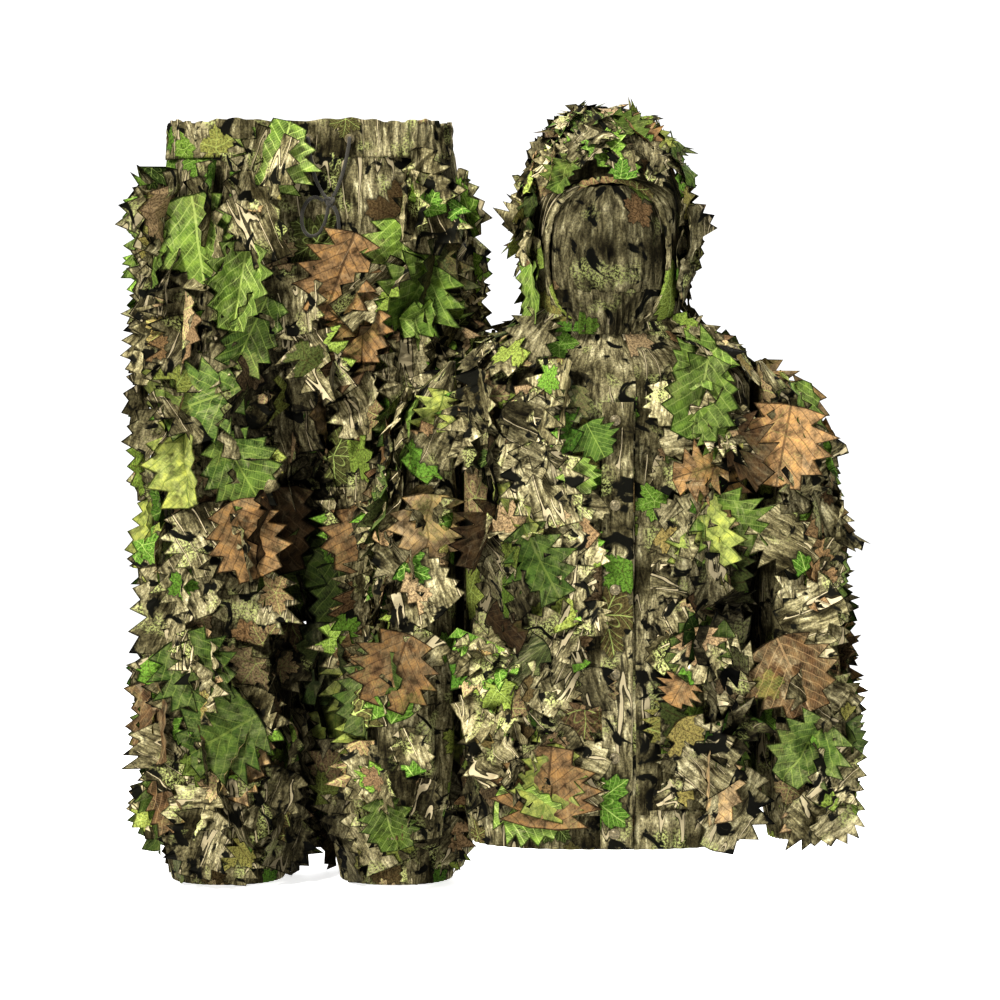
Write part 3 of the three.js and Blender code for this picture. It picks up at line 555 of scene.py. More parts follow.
def leaf_flaps(name, body, surface, angle, z, seed, sizes=(0.098, 0.135), lift=(4, 68), shade=None,
               out=0.003, sorts=None, rolls=0.32, shapes=None, bend=0.3, crumple=0.3, room=None):
    """Each flap is a grid of rows down a midrib. Its half width in each row comes from OUTLINES. Each half is
    turned up about the midrib by its own angle, bent further towards its edge, and creased along one slanting
    zigzag. A flap that would reach past its room is pressed flatter, then made smaller. Each flap has its own
    square of the bake map and its own crop of the print."""
    rng = np.random.default_rng(seed)
    count = len(angle)
    low, high = surface(angle, z - 0.012, out), surface(angle, z + 0.012, out)
    along = surface(angle + 0.05, z, out) - surface(angle - 0.05, z, out)
    along /= np.linalg.norm(along, axis=1, keepdims=True)
    outward = np.cross(along, high - low)
    outward /= np.linalg.norm(outward, axis=1, keepdims=True)
    upward = np.cross(outward, along)
    roll = rng.normal(0, rolls, count) if np.isscalar(rolls) else np.radians(rolls)
    down = -np.cos(roll)[:, None] * upward + np.sin(roll)[:, None] * along
    wide = np.cross(down, outward)
    size = rng.uniform(*sizes, count) if isinstance(sizes, tuple) else np.array(sizes)
    shape = rng.integers(0, len(OUTLINES), count) if shapes is None else np.array(shapes)
    if sorts is None:
        sorts = rng.choice(len(SORTS), count, p=[sort[3] for sort in SORTS])
    side = np.array([-1, -0.52, 0, 0.52, 1])[None, None, :]
    row = np.broadcast_to(np.linspace(0, 1, FLAP_ROWS)[None, :, None], (count, FLAP_ROWS, FLAP_ACROSS))
    tip = (np.arange(FLAP_ROWS) % 2)[None, :, None] * (np.abs(side) == 1)
    row = row + tip * (0.13 * (row - 0.36) + 0.012 * rng.normal(0, 1, (count, FLAP_ROWS, 1)))
    half = OUTLINES[shape] * rng.uniform(0.9, 1.08, (count, FLAP_ROWS)) * rng.uniform(0.85, 1.05, (count, 1))
    across = side * half[:, :, None]
    lifts = np.radians(lift[0] + (lift[1] - lift[0]) * rng.uniform(0, 1, (count, 2)) ** 1.5)
    turned = np.where(side < 0, lifts[:, :1, None], lifts[:, 1:, None])
    turned = turned * (1 + rng.uniform(-0.5, 0.7, (count, 1, 1)) * (np.abs(side) - 0.5))
    rise = np.abs(across) * np.sin(turned) + rng.uniform(-0.1, bend, (count, 1, 1)) * (row - 0.35) ** 2
    wave = np.sin(rng.uniform(5, 10, (count, 1, 1)) * row + rng.uniform(0, 6.3, (count, 1, 1)))
    rise = rise + 0.05 * np.abs(side) * wave
    fold_line = row * rng.uniform(0.8, 2.4, (count, 1, 1)) + side * rng.uniform(-0.8, 0.8, (count, 1, 1))
    crease = np.abs((fold_line + rng.uniform(0, 1, (count, 1, 1))) % 1 - 0.5)
    rise = rise + crease * rng.uniform(0, crumple, (count, 1, 1))
    spread = across * np.cos(turned)
    place = (surface(angle, z, out) + outward * rng.uniform(0, 0.009, (count, 1)))[:, None, None]
    scale = size[:, None, None, None]
    flat = scale * ((row - 0.5)[..., None] * down[:, None, None] + spread[..., None] * wide[:, None, None])
    raised = scale * rise[..., None] * outward[:, None, None]
    nearest, furthest = LIMITS if room is None else room
    span = flat + raised * room_for(place + flat, raised, nearest, furthest).clip(0, 1)
    fit = room_for(place, span, nearest, furthest).clip(0.3, 1)[:, 0, 0, 0]
    points = place + span * fit[:, None, None, None]
    i, j = net(np.arange(FLAP_ROWS - 1), np.arange(FLAP_ACROSS - 1))
    first, below = i * FLAP_ACROSS + j, (i + 1) * FLAP_ACROSS + j
    each = FLAP_ROWS * FLAP_ACROSS
    quad = np.stack([first, first + 1, below + 1, below], -1).reshape(-1, 4)
    faces = (quad[None] + each * np.arange(count)[:, None, None]).reshape(-1, 4)
    mesh = bpy.data.meshes.new(name)
    mesh.from_pydata(points.reshape(-1, 3).tolist(), [], faces.tolist())
    leaf_map = np.stack([row, across], -1).reshape(-1, 2)
    turn = rng.normal(0, 0.35, (count, 1, 1))
    crop = (across * np.cos(turn) - row * np.sin(turn), across * np.sin(turn) + row * np.cos(turn))
    print_map = (np.stack(crop, -1) * scale + rng.uniform(0, 9, (count, 1, 1, 2))).reshape(-1, 2)
    cells = int(np.ceil(np.sqrt(count)))
    cell = np.stack([np.arange(count) % cells, np.arange(count) // cells], -1)[:, None, None]
    in_cell = np.stack([0.5 + across / 1.5, (row + 0.07) / 1.17], -1).clip(0, 1)
    bake_map = ((cell + 0.03 + 0.94 * in_cell) / cells).reshape(-1, 2)
    for layer_name, places in (("Print", print_map), ("Leaf", leaf_map), ("OFBake", bake_map)):
        layer = mesh.uv_layers.new(name=layer_name)
        layer.data.foreach_set("uv", places[faces.ravel()].ravel().astype(np.float32))
    # Flaps that the shade function picks are darkened, painted shade for the gaps beside them; each flap's
    # tone also varies at random.
    painted_gap_shade = np.ones(count) if shade is None else shade(outward, surface(angle, z, out))
    stored(mesh, "tone_and_shade", "FLOAT", np.repeat(painted_gap_shade * rng.uniform(0.5, 1.6, count), each))
    stored(mesh, "whole", "FLOAT", np.repeat(np.array([sort[2] for sort in SORTS])[sorts], each))
    # The cut edge of each flap, which its material darkens as painted shade.
    ends = (np.arange(FLAP_ROWS) % (FLAP_ROWS - 1) == 0)[None, :, None]
    stored(mesh, "edge_shade", "FLOAT", np.broadcast_to((np.abs(side) == 1) | ends, row.shape))
    for key, column in (("dye", 0), ("rib", 1)):
        paint = np.array([sort[column] for sort in SORTS])[sorts] * rng.uniform(0.8, 1.25, (count, 1))
        stored(mesh, key, "FLOAT_COLOR", np.repeat(np.hstack([paint, np.ones((count, 1))]), each, axis=0))
    mesh.shade_flat()
    piece = bpy.data.objects.new(name, mesh)
    bpy.context.scene.collection.objects.link(piece)
    piece.data.materials.append(leaf_cloth)
    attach(piece, body)
    return piece


# Flaps reach no further than the model's box grown by 3% of each side and 7 mm, and stay 1 mm above the floor.
box_low, box_high = np.array(cad_box)
proud = 0.03 * (box_high - box_low) + 0.007
above_floor = [-np.inf, -np.inf, 0.001]
LIMITS = np.array([np.maximum(box_low - proud, above_floor), box_high + proud])
# Flaps on the trousers reach no further towards the wearer's left than this, where the jacket stands in front.
trousers_reach = 0.010
TROUSER_ROOM = np.array([LIMITS[0], [trousers_reach, *LIMITS[1, 1:]]])
leaf_cloth, tree, shader = finish_of("leaf_cloth", 0.8)
print_place = node(tree, "UVMap", uv_map="Print").outputs["UV"]
leaf_place = node(tree, "SeparateXYZ", {0: node(tree, "UVMap", uv_map="Leaf").outputs["UV"]})
down_leaf, off_rib = leaf_place.outputs[0], calc(tree, "ABSOLUTE", leaf_place.outputs[1])
printed = camouflage(tree, print_place)
blotch = noise(tree, print_place, 60, 6, 0.65)
waver = calc(tree, "MULTIPLY_ADD", less(tree, blotch, 0.5), 0.09, down_leaf)


def stripes(tree, value, width):
    """1 where the value is within a width of the middle of each whole step, and 0 elsewhere."""
    off_middle = calc(tree, "ABSOLUTE", less(tree, calc(tree, "FRACT", value), 0.5))
    return calc(tree, "LESS_THAN", off_middle, width)


side_rib = stripes(tree, times(tree, less(tree, waver, times(tree, off_rib, 0.9)), 7), 0.06)
fine_rib = stripes(tree, times(tree, calc(tree, "ADD", waver, times(tree, off_rib, 1.3)), 19), 0.07)
mid_rib = calc(tree, "LESS_THAN", off_rib, 0.014)
ribs = calc(tree, "MAXIMUM", calc(tree, "MAXIMUM", times(tree, side_rib, 0.85), times(tree, fine_rib, 0.5)),
            mid_rib)
dye = node(tree, "Attribute", attribute_name="dye").outputs["Color"]
rib = node(tree, "Attribute", attribute_name="rib").outputs["Color"]
whole = node(tree, "Attribute", attribute_name="whole").outputs["Fac"]
tone_and_shade = node(tree, "Attribute", attribute_name="tone_and_shade").outputs["Fac"]
edge_shade = node(tree, "Attribute", attribute_name="edge_shade").outputs["Fac"]
uneven = ramp(tree, blotch, (0.36, 0.28, 0.28, 0.28), (0.5, 0.95, 0.95, 0.95), (0.64, 1.6, 1.5, 1.2))
dyed = blended(tree, 1.0, dye, uneven, "MULTIPLY")
dyed = blended(tree, times(tree, ribs, 0.7), dyed, rib)
# Each flap's colour is multiplied by its tone attribute: a random tone times painted shade for flaps that face
# a gap.
colour = blended(tree, 1.0, blended(tree, whole, printed, dyed), tone_and_shade, "MULTIPLY")
# Painted shade: the colour is darkened along each flap's cut edges, so that the teeth stand out.
colour = blended(tree, 1.0, colour, ramp(tree, edge_shade, (0.80, 1, 1, 1), (0.93, 0.16, 0.16, 0.14)), "MULTIPLY")
tree.links.new(colour, shader.inputs["Base Color"])
rise = less(tree, blotch, times(tree, times(tree, ribs, whole), 0.5))
tree.links.new(node(tree, "Bump", {"Height": rise, "Strength": 0.5, "Distance": 0.003}).outputs[0],
               shader.inputs["Normal"])
shader.inputs["Specular IOR Level"].default_value = 0.06

loose_seat = folded(seat, seat_fold)
cord_angle, beside, cord_drop, band_clear, seam_clear = 4.87, 0.26, 0.87, 0.97, 0.93
for i, (name, start, heights) in enumerate((
    ("front_low", np.pi, (0.755, 0.90)), ("front_high", np.pi, (0.90, 1.045)),
    ("back_low", 0, (0.755, 0.90)), ("back_high", 0, (0.90, 1.045)),
)):
    angle, z = in_columns(40 + i, (start, start + np.pi), heights, 0.20)
    beside_cord = (np.abs(angle - cord_angle) > beside) | (z < cord_drop)
    below_band = (np.abs(np.cos(angle)) < 0.75) | ((z < band_clear) & (np.abs(np.cos(angle)) < seam_clear))
    spots = (angle[beside_cord & below_band], z[beside_cord & below_band])
    leaf_flaps("leaves_seat_" + name, "trousers_seat", loose_seat, *spots, seed=50 + i, room=TROUSER_ROOM)
for side, k in (("left", 1), ("right", -1)):
    loose_leg = folded(legs[side], leg_fold)

    def inner_shade(outward, places, k=k):
        """Flaps that face the other leg are darkened, painted shade for the gap between the legs."""
        return np.where(outward[:, 0] * -k > 0.45, 0.25, 1.0)

    for i, (part, heights, body) in enumerate((("thigh", (0.575, 0.765), "thigh"),
                                               ("knee", (0.405, 0.575), "thigh"),
                                               ("shin", (0.235, 0.395), "shin"),
                                               ("ankle", (0.035, 0.235), "shin"))):
        for face, start in (("front", np.pi), ("back", 0.0)):
            seed = 60 + 10 * i + 3 * k + int(start)
            angle, z = in_columns(seed, (start, start + np.pi), heights, 0.108)
            behind_jacket = (side, face) == ("left", "front") and part != "thigh"
            off_seam = k * np.cos(angle) < (0.90 if part != "ankle" else 2)
            off_seam &= k * np.cos(angle) > (-0.8 if (part, face) == ("shin", "back") else -2)
            spots = (angle[off_seam], z[off_seam])
            hang = {"lift": (2, 16), "bend": 0.04, "crumple": 0.08} if behind_jacket else {"lift": (4, 66)}
            leaf_flaps(f"leaves_{side}_{part}_{face}", f"{side}_{body}", loose_leg, *spots, seed=seed + 100,
                       sizes=(0.08, 0.11) if part == "ankle" else (0.098, 0.135), shade=inner_shade,
                       room=TROUSER_ROOM, out=0.001, **hang)

# ---- Side fins: a chain of flaps down the outer seam of the trousers, whose halves stand well out ----
# Each is stitched down the seam and folded out on both sides of it, so that the outline is toothed.
for side, seam_angle in (("left", -0.16), ("right", np.pi + 0.16)):
    loose_leg = folded(legs[side], leg_fold)
    for i, (body, surface, low, high) in enumerate((("trousers_seat", loose_seat, 0.79, 1.02),
                                                    (f"{side}_thigh", loose_leg, 0.44, 0.75),
                                                    (f"{side}_shin", loose_leg, 0.07, 0.36))):
        z = np.arange(high - 0.05, low, -0.1)
        shapes = 1 - np.arange(len(z)) % 2
        leaf_flaps(f"leaves_{side}_fin_{i + 1}", body, surface, np.full(len(z), seam_angle), z, seed=200 + i,
                   sizes=(0.102, 0.112), lift=(46, 72), rolls=0.08, out=-0.004, shapes=shapes,
                   room=TROUSER_ROOM)

# ---- Jacket body: a back and two fronts of the printed cloth over an elastic hem band ----
# The cloth blouses a little over the band. The left front starts under the placket's seam.
JACKET = np.array([0.163, -0.138, 0])
body_stations = [(0.10, 0, 0, 0.378, 0.244), (0.151, 0, 0, 0.384, 0.250), (0.175, 0, 0, 0.396, 0.258),
                 (0.33, 0, 0, 0.388, 0.257), (0.585, 0, 0, 0.394, 0.262), (0.695, 0, 0, 0.398, 0.252),
                 (0.743, 0, 0, 0.396, 0.204), (0.795, 0, 0, 0.212, 0.176), (0.83, 0, 0, 0.208, 0.176)]
torso = tube(JACKET, body_stations, 2.6, 0.1205)
torso_fold = folds(37, 0.009, (2, 16), 11, 8)
PLACKET_EDGE = 1.5 * np.pi + 0.115
tall = np.r_[np.linspace(0.150, 0.73, 110), np.linspace(0.735, 0.800, 34)]
for name, start, stop, nodes in (("back", 0, np.pi, ["back_panel"]),
                                 ("right_front", np.pi, PLACKET_EDGE + 0.02, ["right_front_panel"]),
                                 ("left_front", PLACKET_EDGE, 2 * np.pi, ["left_front_panel"])):
    z, angle = net(tall, np.linspace(start, stop, 120 if name == "back" else 66))
    piece = cloth(name + "_cloth", torso, angle, z, torso_fold, printed_cloth, nodes,
                  shift=(start, 0.3), out=-0.0045 if name != "right_front" else -0.0065)
    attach(piece, "jacket_body")

# ---- Hem band and neck band: elastic and tape in a folded casing ----
# Elastic gathers the hem's casing, whose end is tucked in under the placket. The neck's is nearly plain.
z, angle = net(np.linspace(0.104, 0.156, 14), np.linspace(PLACKET_EDGE, PLACKET_EDGE + 2 * np.pi + 0.03,
                                                          320))


def hem_gathers(angle, z):
    """Fine gathers, a row of stitching below the top edge, and the end tucked in under the placket."""
    tucked = np.clip((angle - PLACKET_EDGE - 2 * np.pi + 0.04) / 0.04, 0, 1)
    stitches = np.exp(-((z - 0.149) / 0.003) ** 2)
    return -0.002 - 0.004 * tucked + 0.0016 * np.sin(52 * angle + 2.5 * np.sin(4 * angle)) - 0.002 * stitches


hem = cloth("hem_band_casing", torso, angle, z, hem_gathers, edge_cloth, ["hem_band"],
            0.0035,
            shift=(0.2, 1.7))
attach(hem, "jacket_body")


def neck_gathers(angle, z):
    """Shallow gathers round the neck."""
    return 0.0008 * np.sin(60 * angle)


z, angle = net(np.linspace(0.793, 0.806, 6), np.linspace(1.5 * np.pi + 0.18, 3.5 * np.pi - 0.18, 140))
neck = cloth("neck_band_casing", torso, angle, z, neck_gathers, edge_cloth, ["neck_band"],
             0.0035, out=0.0)
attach(neck, "jacket_body")

# ---- Placket: a doubled strip of cloth over the front opening, stitched down its wearer's-left edge ----
# It carries the caps of the snaps, and its other edge is loose and waves a little.
drop, sideways = net(np.linspace(0.106, 0.70, 150), np.linspace(-0.009, 0.033, 16))
flap_wave = 0.0016 * np.sin(19 * drop + 2) + 0.0012 * np.sin(47 * drop + 90 * sideways)
loose = np.clip((0.03 - sideways) / 0.04, 0, 1)
front_face = -0.1258 - flap_wave * loose - 0.0008 * np.sin(300 * (sideways + 0.009)) ** 2
placket_points = np.stack([JACKET[0] + sideways + 0.0012 * np.sin(31 * drop) * loose, JACKET[1] + front_face,
                           drop], -1)
placket = grid_mesh("placket_strip", placket_points,
                    print_map=cloth_map(placket_points, False) + np.array([2.3, 0.1]))
wall = placket.modifiers.new("cloth_wall", "SOLIDIFY")
wall.thickness, wall.offset = 0.0026, -1
placket.data.materials.append(edge_cloth)
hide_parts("placket")
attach(placket, "placket_flap")

# ---- Snaps: enamelled press-studs, a domed cap on the placket over a stud on the front ----
# A cap is a pressed disc with a rolled rim and a raised middle. The eyelets have the same worn enamel, and
# the hanger loop is twill tape.
snap_enamel, tree, shader = finish_of("snap_enamel", 0.42)
shader.inputs["Metallic"].default_value = 0.35
place = node(tree, "TexCoord").outputs["Object"]
wear = noise(tree, place, 420, 4)
enamel = ramp(tree, wear, (0.4, 0.09, 0.075, 0.04), (0.6, 0.17, 0.14, 0.075), (0.75, 0.32, 0.27, 0.16))
tree.links.new(enamel, shader.inputs["Base Color"])
tree.links.new(node(tree, "Bump", {"Height": wear, "Strength": 0.2, "Distance": 0.0004}).outputs[0],
               shader.inputs["Normal"])
snap_profile = np.array([(0, 0), (0.0066, 0), (0.0072, 0.0006), (0.0073, 0.0014), (0.0068, 0.0021),
                         (0.0058, 0.0023), (0.0051, 0.0017), (0.0047, 0.0017), (0.0040, 0.0027),
                         (0.0024, 0.0032), (0, 0.0033)])
turn = full_turn(40)
for i, height in enumerate((0.127, 0.228, 0.340, 0.452, 0.564, 0.676)):
    r, t = snap_profile[:, 0][:, None], snap_profile[:, 1][:, None]
    ring = np.stack(np.broadcast_arrays(JACKET[0] + 0.009 + r * np.cos(turn), JACKET[1] - 0.1262 - t,
                                        height + r * np.sin(turn)), -1)
    cap = grid_mesh(f"snap_cap_{i + 1}_domed", ring, loop=True)
    cap.data.materials.append(snap_enamel)
    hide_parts(f"snap_cap_{i + 1}")
    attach(cap, "placket_flap")
for name in [f"snap_stud_{i}" for i in range(1, 7)] + ["left_eyelet", "right_eyelet"]:
    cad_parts[name].data.materials.clear()
    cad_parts[name].data.materials.append(snap_enamel)
loop_tape, tree, shader = finish_of("loop_tape", 0.85)
place = node(tree, "TexCoord").outputs["Object"]
twill = node(tree, "TexWave", {"Vector": place, "Scale": 420, "Distortion": 0.4},
             bands_direction="DIAGONAL").outputs["Fac"]
webbing = ramp(tree, twill, (0.2, 0.02, 0.018, 0.012), (0.8, 0.07, 0.062, 0.045))
tree.links.new(webbing, shader.inputs["Base Color"])
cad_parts["hanger_loop"].data.materials.clear()
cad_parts["hanger_loop"].data.materials.append(loop_tape)

# ---- Sleeves: loose tubes set against the shoulder, with gathered elastic cuffs ----
# A top part reaches down 200 mm from the shoulder seam, and a lower part runs on to the cuff.
sleeve_fold = folds(53, 0.009, (2, 10), 9, 16)
sleeves = {}
sleeve_profile = [(0.100, 0.110, 0.024, 0.098), (0.150, 0.120, 0.014, 0.122), (0.175, 0.126, 0.008, 0.136),
                  (0.290, 0.124, 0.005, 0.138), (0.426, 0.110, 0.002, 0.142), (0.510, 0.103, 0.001, 0.146),
                  (0.605, 0.092, 0.0, 0.148), (0.650, 0.082, 0.0, 0.144), (0.702, 0.062, 0.0, 0.134),
                  (0.728, 0.042, 0.0, 0.112), (0.745, 0.018, 0.0, 0.060), (0.752, 0.004, 0.0, 0.020)]


def calm(angle, z):
    """The sleeve's folds, which die out over the top 100 mm below the shoulder seam."""
    return sleeve_fold(angle, z) * np.clip((0.75 - z) / 0.1, 0, 1)


def sleeve_gathers(angle, z):
    """Fine gathers round the cuff."""
    return 0.001 + 0.0022 * np.sin(34 * angle + 2 * np.sin(3 * angle))


for side, k in (("left", 1), ("right", -1)):
    stations = [(z, k * (0.2004 + (outer + inner) / 2), 0, outer - inner, depth)
                for z, outer, inner, depth in sleeve_profile]
    sleeve = sleeves[side] = tube(JACKET, stations, 2.5)
    z, angle = net(np.r_[np.linspace(0.55, 0.70, 30), np.linspace(0.704, 0.752, 16)], full_turn(110))
    head = cloth(f"{side}_sleeve_head_cloth", sleeve, angle, z, calm, printed_cloth,
                 [f"{side}_sleeve_upper"], loop=True, shift=(3 * k, 0.55))
    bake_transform(head)
    z, angle = net(np.linspace(0.146, 0.55, 90), full_turn(110))
    lower = cloth(f"{side}_sleeve_cloth", sleeve, angle, z, calm, printed_cloth,
                  [f"{side}_sleeve_lower"], loop=True, shift=(3 * k, 0.146))
    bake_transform(lower)
    z, angle = net(np.linspace(0.106, 0.154, 12), full_turn(220))
    cuff = cloth(f"{side}_sleeve_cuff_gather", sleeve, angle, z, sleeve_gathers, edge_cloth,
                 [f"{side}_sleeve_cuff"], 0.003, loop=True)
    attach(cuff, f"{side}_forearm")

# ---- Hood: two shaped halves joined over the crown, with a corded rim round the face ----
# Its folds die out at the crown, where the centre seam stands up. The rim's casing tapers at both ends.
hood_stations = [(0.80, 0, 0, 0.208, 0.180), (0.8054, 0, 0, 0.210, 0.180), (0.850, 0, 0.003, 0.208, 0.244),
                 (0.950, 0, 0.003, 0.208, 0.256), (1.0, 0, 0.003, 0.208, 0.256)]
hood_tube = tube(JACKET, hood_stations, 2.2)
DOME, CROWN = 0.950, 1.084


def hood(angle, z, out=0.0):
    """A tube up to the dome, then each section shrinks as a half ellipse of height to the crown."""
    rise = np.clip((z - DOME) / (CROWN - DOME), 0, 0.9999)
    shrink = np.sqrt(1 - rise**2)
    point = hood_tube(angle, np.minimum(z, DOME), out)
    middle = JACKET + np.array([0, 0.003, 0])
    flat = middle[:2] + (point[..., :2] - middle[:2]) * shrink[..., None]
    return np.concatenate([flat, (np.minimum(z, DOME) + rise * (CROWN - DOME + out))[..., None]], -1)


def face_edge(z, share=1.0):
    """Half the angle of the face opening at a height: half an ellipse about its middle."""
    return np.radians(52) * share * np.sqrt(np.clip(1 - ((z - 0.895) / (0.1 * share)) ** 2, 0, 1))


over_dome = 0.1339 * np.sin(np.linspace(np.arcsin(0.34), np.pi / 2, 30))
tall = np.r_[np.linspace(0.800, 0.995, 60), DOME + over_dome]
share = np.linspace(0, 1, 200)[None, :]
z = np.broadcast_to(tall[:, None], (len(tall), 200))
angle = 1.5 * np.pi + face_edge(z) + share * (2 * np.pi - 2 * face_edge(z))
hood_fold = folds(71, 0.005, (3, 11), 8, 8)


def seam(angle, z):
    """The hood's folds, which die out at the crown, and the raised centre seam over the dome."""
    ridge = np.exp(-(np.minimum(np.abs(np.cos(angle)), 1) / 0.05) ** 2) * np.clip((z - 0.97) / 0.02, 0, 1)
    return hood_fold(angle, z) * np.clip((1.07 - z) / 0.06, 0, 1) + 0.0025 * ridge


hood_cloth = cloth("hood_halves_cloth", hood, angle, z, seam, printed_cloth,
                   ["hood_left_half", "hood_right_half"], shift=(5, 0))
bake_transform(hood_cloth)
turn = np.linspace(-1.12, np.pi + 1.12, 120)
rim_angle = 1.5 * np.pi + np.radians(52) * 0.985 * np.cos(turn)
rim_line = hood(rim_angle, 0.895 + 0.1 * 0.985 * np.sin(turn), -0.002)
rings = tube_along(rim_line, 0.0048, 14)
taper = np.sqrt(np.sin(np.linspace(0.02, np.pi - 0.02, 120)))
ruck = ((1 + 0.16 * np.sin(np.arange(120) * 1.9)) * taper)[:, None, None]
rim = grid_mesh("hood_rim_casing", rim_line[:, None] + (rings - rim_line[:, None]) * ruck, loop=True,
                print_map=cloth_map(rings, True) + np.array([6.5, 0]))
rim.data.materials.append(edge_cloth)
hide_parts("hood_rim")
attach(rim, "hood")

# ---- Face mask: a see-through printed mesh panel with a gathered skirt below the mouth seam ----
# It hangs in the hood's opening and folds forward and down from the throat.
mask_mesh = cloth_finish("printed_mesh", 0.46, 900.0, 30.0)


def cut_size(angle, z, fold, out=-0.003):
    """The flat cut of a hung panel: its longest row, its longest column, and the area of its quads."""
    points = hood(angle, z, out + fold(angle, z))
    rows = np.linalg.norm(np.diff(points, axis=1), axis=2).sum(1).max()
    columns = np.linalg.norm(np.diff(points, axis=0), axis=2).sum(0).max()
    corner = np.cross(points[1:, 1:] - points[:-1, :-1], points[:-1, 1:] - points[1:, :-1])
    return (float(rows), float(columns)), float(np.linalg.norm(corner, axis=2).sum() / 2)


z, angle = net(np.linspace(0.845, 0.986, 60), np.linspace(-1, 1, 80))
half = np.clip(face_edge(z, 1.04), 0.05, None)
mask_fold = folds(83, 0.0035, (8, 40), 8, 5)


def mask_wave(angle, z):
    """The mask's folds, on a panel that stands a little proud at its middle."""
    return mask_fold(angle, z) - 0.006 + 0.004 * np.cos((angle - 1.5 * np.pi) * 1.8)


mask = cloth("face_mask_panel", hood, 1.5 * np.pi + angle * half, z, mask_wave, mask_mesh,
             ["face_mask"], 0.0012, shift=(7, 0))
mask_flat, mask_area = cut_size(1.5 * np.pi + angle * half, z, mask_wave)
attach(mask, "mask")
z, angle = net(np.linspace(0.789, 0.848, 28), np.linspace(-1, 1, 120))
half = np.interp(z, [0.789, 0.848], [0.40, face_edge(0.848, 1.0)])


def skirt_wave(angle, z):
    """Gathers that open downwards from the mouth seam, on cloth that flares out as it falls."""
    gathered = 0.003 * np.sin(60 * angle + 2 * np.sin(9 * angle)) * np.clip((0.85 - z) / 0.03, 0.1, 1)
    return gathered + 0.004 - 0.12 * (z - 0.789)


skirt = cloth("mask_skirt_gather", hood, 1.5 * np.pi + angle * half, z, skirt_wave, mask_mesh,
              ["mask_skirt"], 0.0012, shift=(7.5, 0))
skirt_flat, skirt_area = cut_size(1.5 * np.pi + angle * half, z, skirt_wave)
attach(skirt, "mask")

# ---- Leaf flaps on the jacket: the same die-cut flaps, more crumpled, and small on the hood and cuffs ----
# They leave the placket, the hem band and the cuffs clear, and lie flatter where the sleeves rub on the body.
loose_torso = folded(torso, torso_fold)


def sleeve_gap_shade(outward, places):
    """Flaps that face a sleeve are darkened, painted shade for the gap between body and sleeve."""
    return np.where(np.abs(outward[:, 0]) > 0.6, 0.3, 1.0)


jacket_hang = {"front": {"lift": (8, 78), "crumple": 0.5},
               "back": {"lift": (2, 20), "bend": 0.04, "crumple": 0.1}}
for i, (name, start, stop) in enumerate((("back_left", 0.25, np.pi / 2),
                                         ("back_right", np.pi / 2, np.pi - 0.25),
                                         ("front_right", np.pi + 0.68, PLACKET_EDGE - 0.32),
                                         ("front_left", PLACKET_EDGE + 0.36, 2 * np.pi - 0.68))):
    for j, (part, low, high) in enumerate((("low", 0.165, 0.36), ("middle", 0.36, 0.57),
                                           ("high", 0.57, 0.73))):
        spots = in_columns(300 + 5 * i + j, (start, stop), (low, high), 0.20, 0.048, 0.050, 0.42)
        leaf_flaps(f"leaves_{name}_{part}", "jacket_body", loose_torso, *spots, seed=330 + 5 * i + j,
                   sizes=(0.075, 0.125), rolls=0.8, shade=sleeve_gap_shade, **jacket_hang[name.split("_")[0]])
round_back = (PLACKET_EDGE + 0.5, PLACKET_EDGE + 2 * np.pi - 0.72)
spots = in_columns(360, round_back, (0.748, 0.80), 0.13, 0.05, 0.022)
leaf_flaps("leaves_shoulders", "jacket_body", torso, *spots, seed=361, sizes=(0.06, 0.095), lift=(2, 14),
           rolls=0.9, bend=0.05)
for k, name in ((-0.20, "right"), (0.24, "left")):
    z = np.arange(0.18, 0.74, 0.047)
    spots = (PLACKET_EDGE + k + 0.05 * np.sin(9 * np.arange(len(z))), z)
    leaf_flaps(f"leaves_placket_{name}", "jacket_body", loose_torso, *spots, seed=370 + int(20 * k),
               sizes=(0.042, 0.062), lift=(2, 18), rolls=0.7, bend=0.05, crumple=0.1)
for side, k in (("left", 1), ("right", -1)):
    middle = 0 if k > 0 else np.pi
    loose_sleeve = folded(sleeves[side], calm)
    for i, (part, low, high, body, wide) in enumerate((
        ("head", 0.60, 0.71, "upper_arm", 1.9), ("upper", 0.43, 0.60, "upper_arm", 1.85),
        ("fore", 0.27, 0.42, "forearm", 1.8), ("cuff", 0.125, 0.27, "forearm", 1.8),
    )):
        for face, start, stop in (("front", middle - wide * k, middle), ("back", middle, middle + wide * k)):
            spots = in_columns(400 + 7 * i + k, sorted((start, stop)), (low, high), 0.075, 0.05, 0.056, 0.35)
            leaf_flaps(f"leaves_{side}_sleeve_{part}_{face}", f"{side}_{body}", loose_sleeve, *spots,
                       seed=430 + 7 * i + 3 * k + int(start), sizes=(0.065, 0.105), rolls=0.55,
                       lift=(2, 16) if part == "head" else (3, 46), out=-0.004, bend=0.05)
for i, (part, low, high, gap) in enumerate((("low", 0.835, 0.90, 0.10), ("middle", 0.90, 0.985, 0.14))):
    start = 1.5 * np.pi + np.radians(52) + gap
    for face, first, last in (("left", start, 2.5 * np.pi), ("right", 2.5 * np.pi, 5 * np.pi - start)):
        spots = in_columns(500 + i, (first, last), (low, high), 0.115, 0.042, 0.040)
        leaf_flaps(f"leaves_hood_{part}_{face}", "hood", hood, *spots, seed=503 + 2 * i + int(first),
                   sizes=(0.06, 0.088), rolls=0.5, out=-0.002, bend=0.02,
                   lift=(3, 18) if part == "low" else (8, 50), crumple=0.08 if part == "low" else 0.3)
spots = in_columns(510, (-0.55, np.pi + 0.55), (0.985, 1.078), 0.09, 0.042, 0.019)
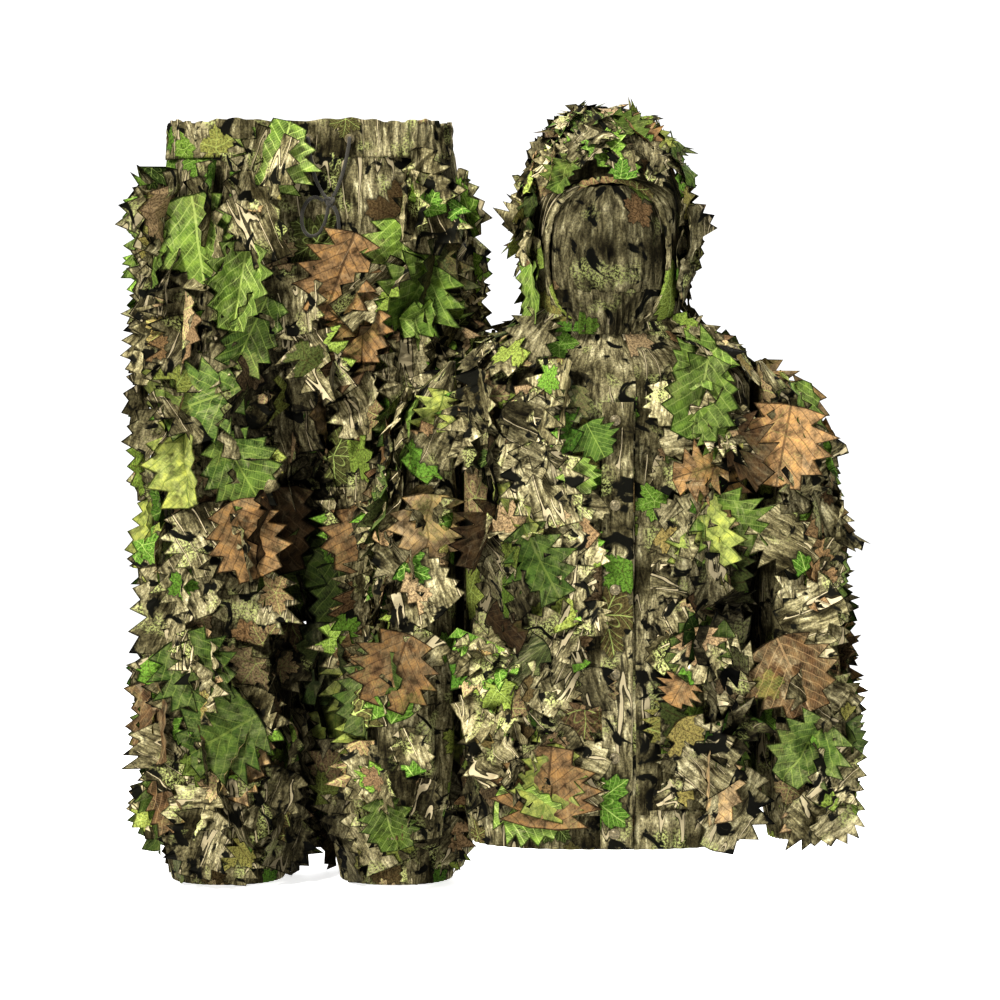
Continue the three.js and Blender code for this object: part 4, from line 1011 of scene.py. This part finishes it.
leaf_flaps("leaves_hood_crown", "hood", hood, *spots, seed=511, sizes=(0.045, 0.072), lift=(4, 34),
           rolls=0.6, out=0.0, bend=0.05)
spots = in_columns(515, (np.pi + 0.55, 2 * np.pi - 0.55), (1.0, 1.078), 0.085, 0.036, 0.019, 0.4)
leaf_flaps("leaves_hood_brow", "hood", hood, *spots, seed=520, sizes=(0.045, 0.066), lift=(6, 40), rolls=0.7,
           bend=0.05)

# ---- Large leaves: whole printed leaves, cut to their outline and stitched over the smaller flaps ----
# Each has its angle and height on the surface, its length, its turn in degrees, its outline and its sort.
for name, body, surface, angle, z, size, roll, shape, sort in (
    ("leaf_hip_green", "trousers_seat", seat, 3.58, 0.897, 0.10, 10, 2, 2),
    ("leaf_left_thigh", "left_thigh", legs["left"], 4.47, 0.50, 0.115, -15, 0, 4),
    ("leaf_right_thigh", "right_thigh", legs["right"], 4.96, 0.50, 0.115, 20, 0, 4),
    ("leaf_left_shin", "left_shin", legs["left"], 4.97, 0.31, 0.115, -8, 2, 1),
    ("leaf_right_shin", "right_shin", legs["right"], 4.455, 0.31, 0.115, 30, 2, 1),
    ("leaf_back_brown", "jacket_body", torso, 1.737, 0.457, 0.12, 12, 2, 4),
):
    piece = leaf_flaps(name + "_printed", body, surface, np.array([angle]), np.array([z]), seed=len(name),
                       sizes=[size], rolls=[roll], shapes=[shape], sorts=[sort], lift=(4, 26), out=0.010,
                       crumple=0.12)
    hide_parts(name)
for name, body, surface, leaves in (
    ("seat", "trousers_seat", seat, [
        (4.86, 0.868, 0.13, -20, 4, 4), (4.60, 1.035, 0.10, 160, 2, 2), (5.48, 0.800, 0.11, 80, 1, 2),
        (4.09, 0.918, 0.128, 10, 2, 2)]),
    ("right_leg", "right_thigh", legs["right"], [
        (4.54, 0.694, 0.12, -70, 1, 1), (4.9, 0.60, 0.105, 30, 0, 1)]),
    ("right_ankle", "right_shin", legs["right"], [(4.71, 0.22, 0.12, -60, 2, 1)]),
    ("chest", "jacket_body", torso, [
        (5.27, 0.52, 0.125, 0, 1, 3), (5.26, 0.745, 0.085, -50, 2, 2), (5.22, 0.38, 0.10, -45, 0, 1),
        (5.30, 0.66, 0.07, 30, 4, 2), (5.22, 0.61, 0.08, -75, 4, 4), (4.42, 0.19, 0.112, 175, 2, 4)]),
    ("left_arm", "left_upper_arm", sleeves["left"], [(4.62, 0.64, 0.112, -10, 2, 4)]),
    ("left_forearm", "left_forearm", sleeves["left"], [(4.6, 0.335, 0.11, 25, 2, 6)]),
    ("right_forearm", "right_forearm", sleeves["right"], [(4.5, 0.34, 0.105, -20, 0, 4)]),
):
    angle, z, size, roll, shape, sort = map(list, zip(*leaves))
    leaf_flaps(f"leaves_large_{name}", body, surface, np.array(angle), np.array(z), seed=len(name),
               sizes=size, rolls=roll, shapes=shape, sorts=sort, lift=(4, 30), out=0.009, crumple=0.16)
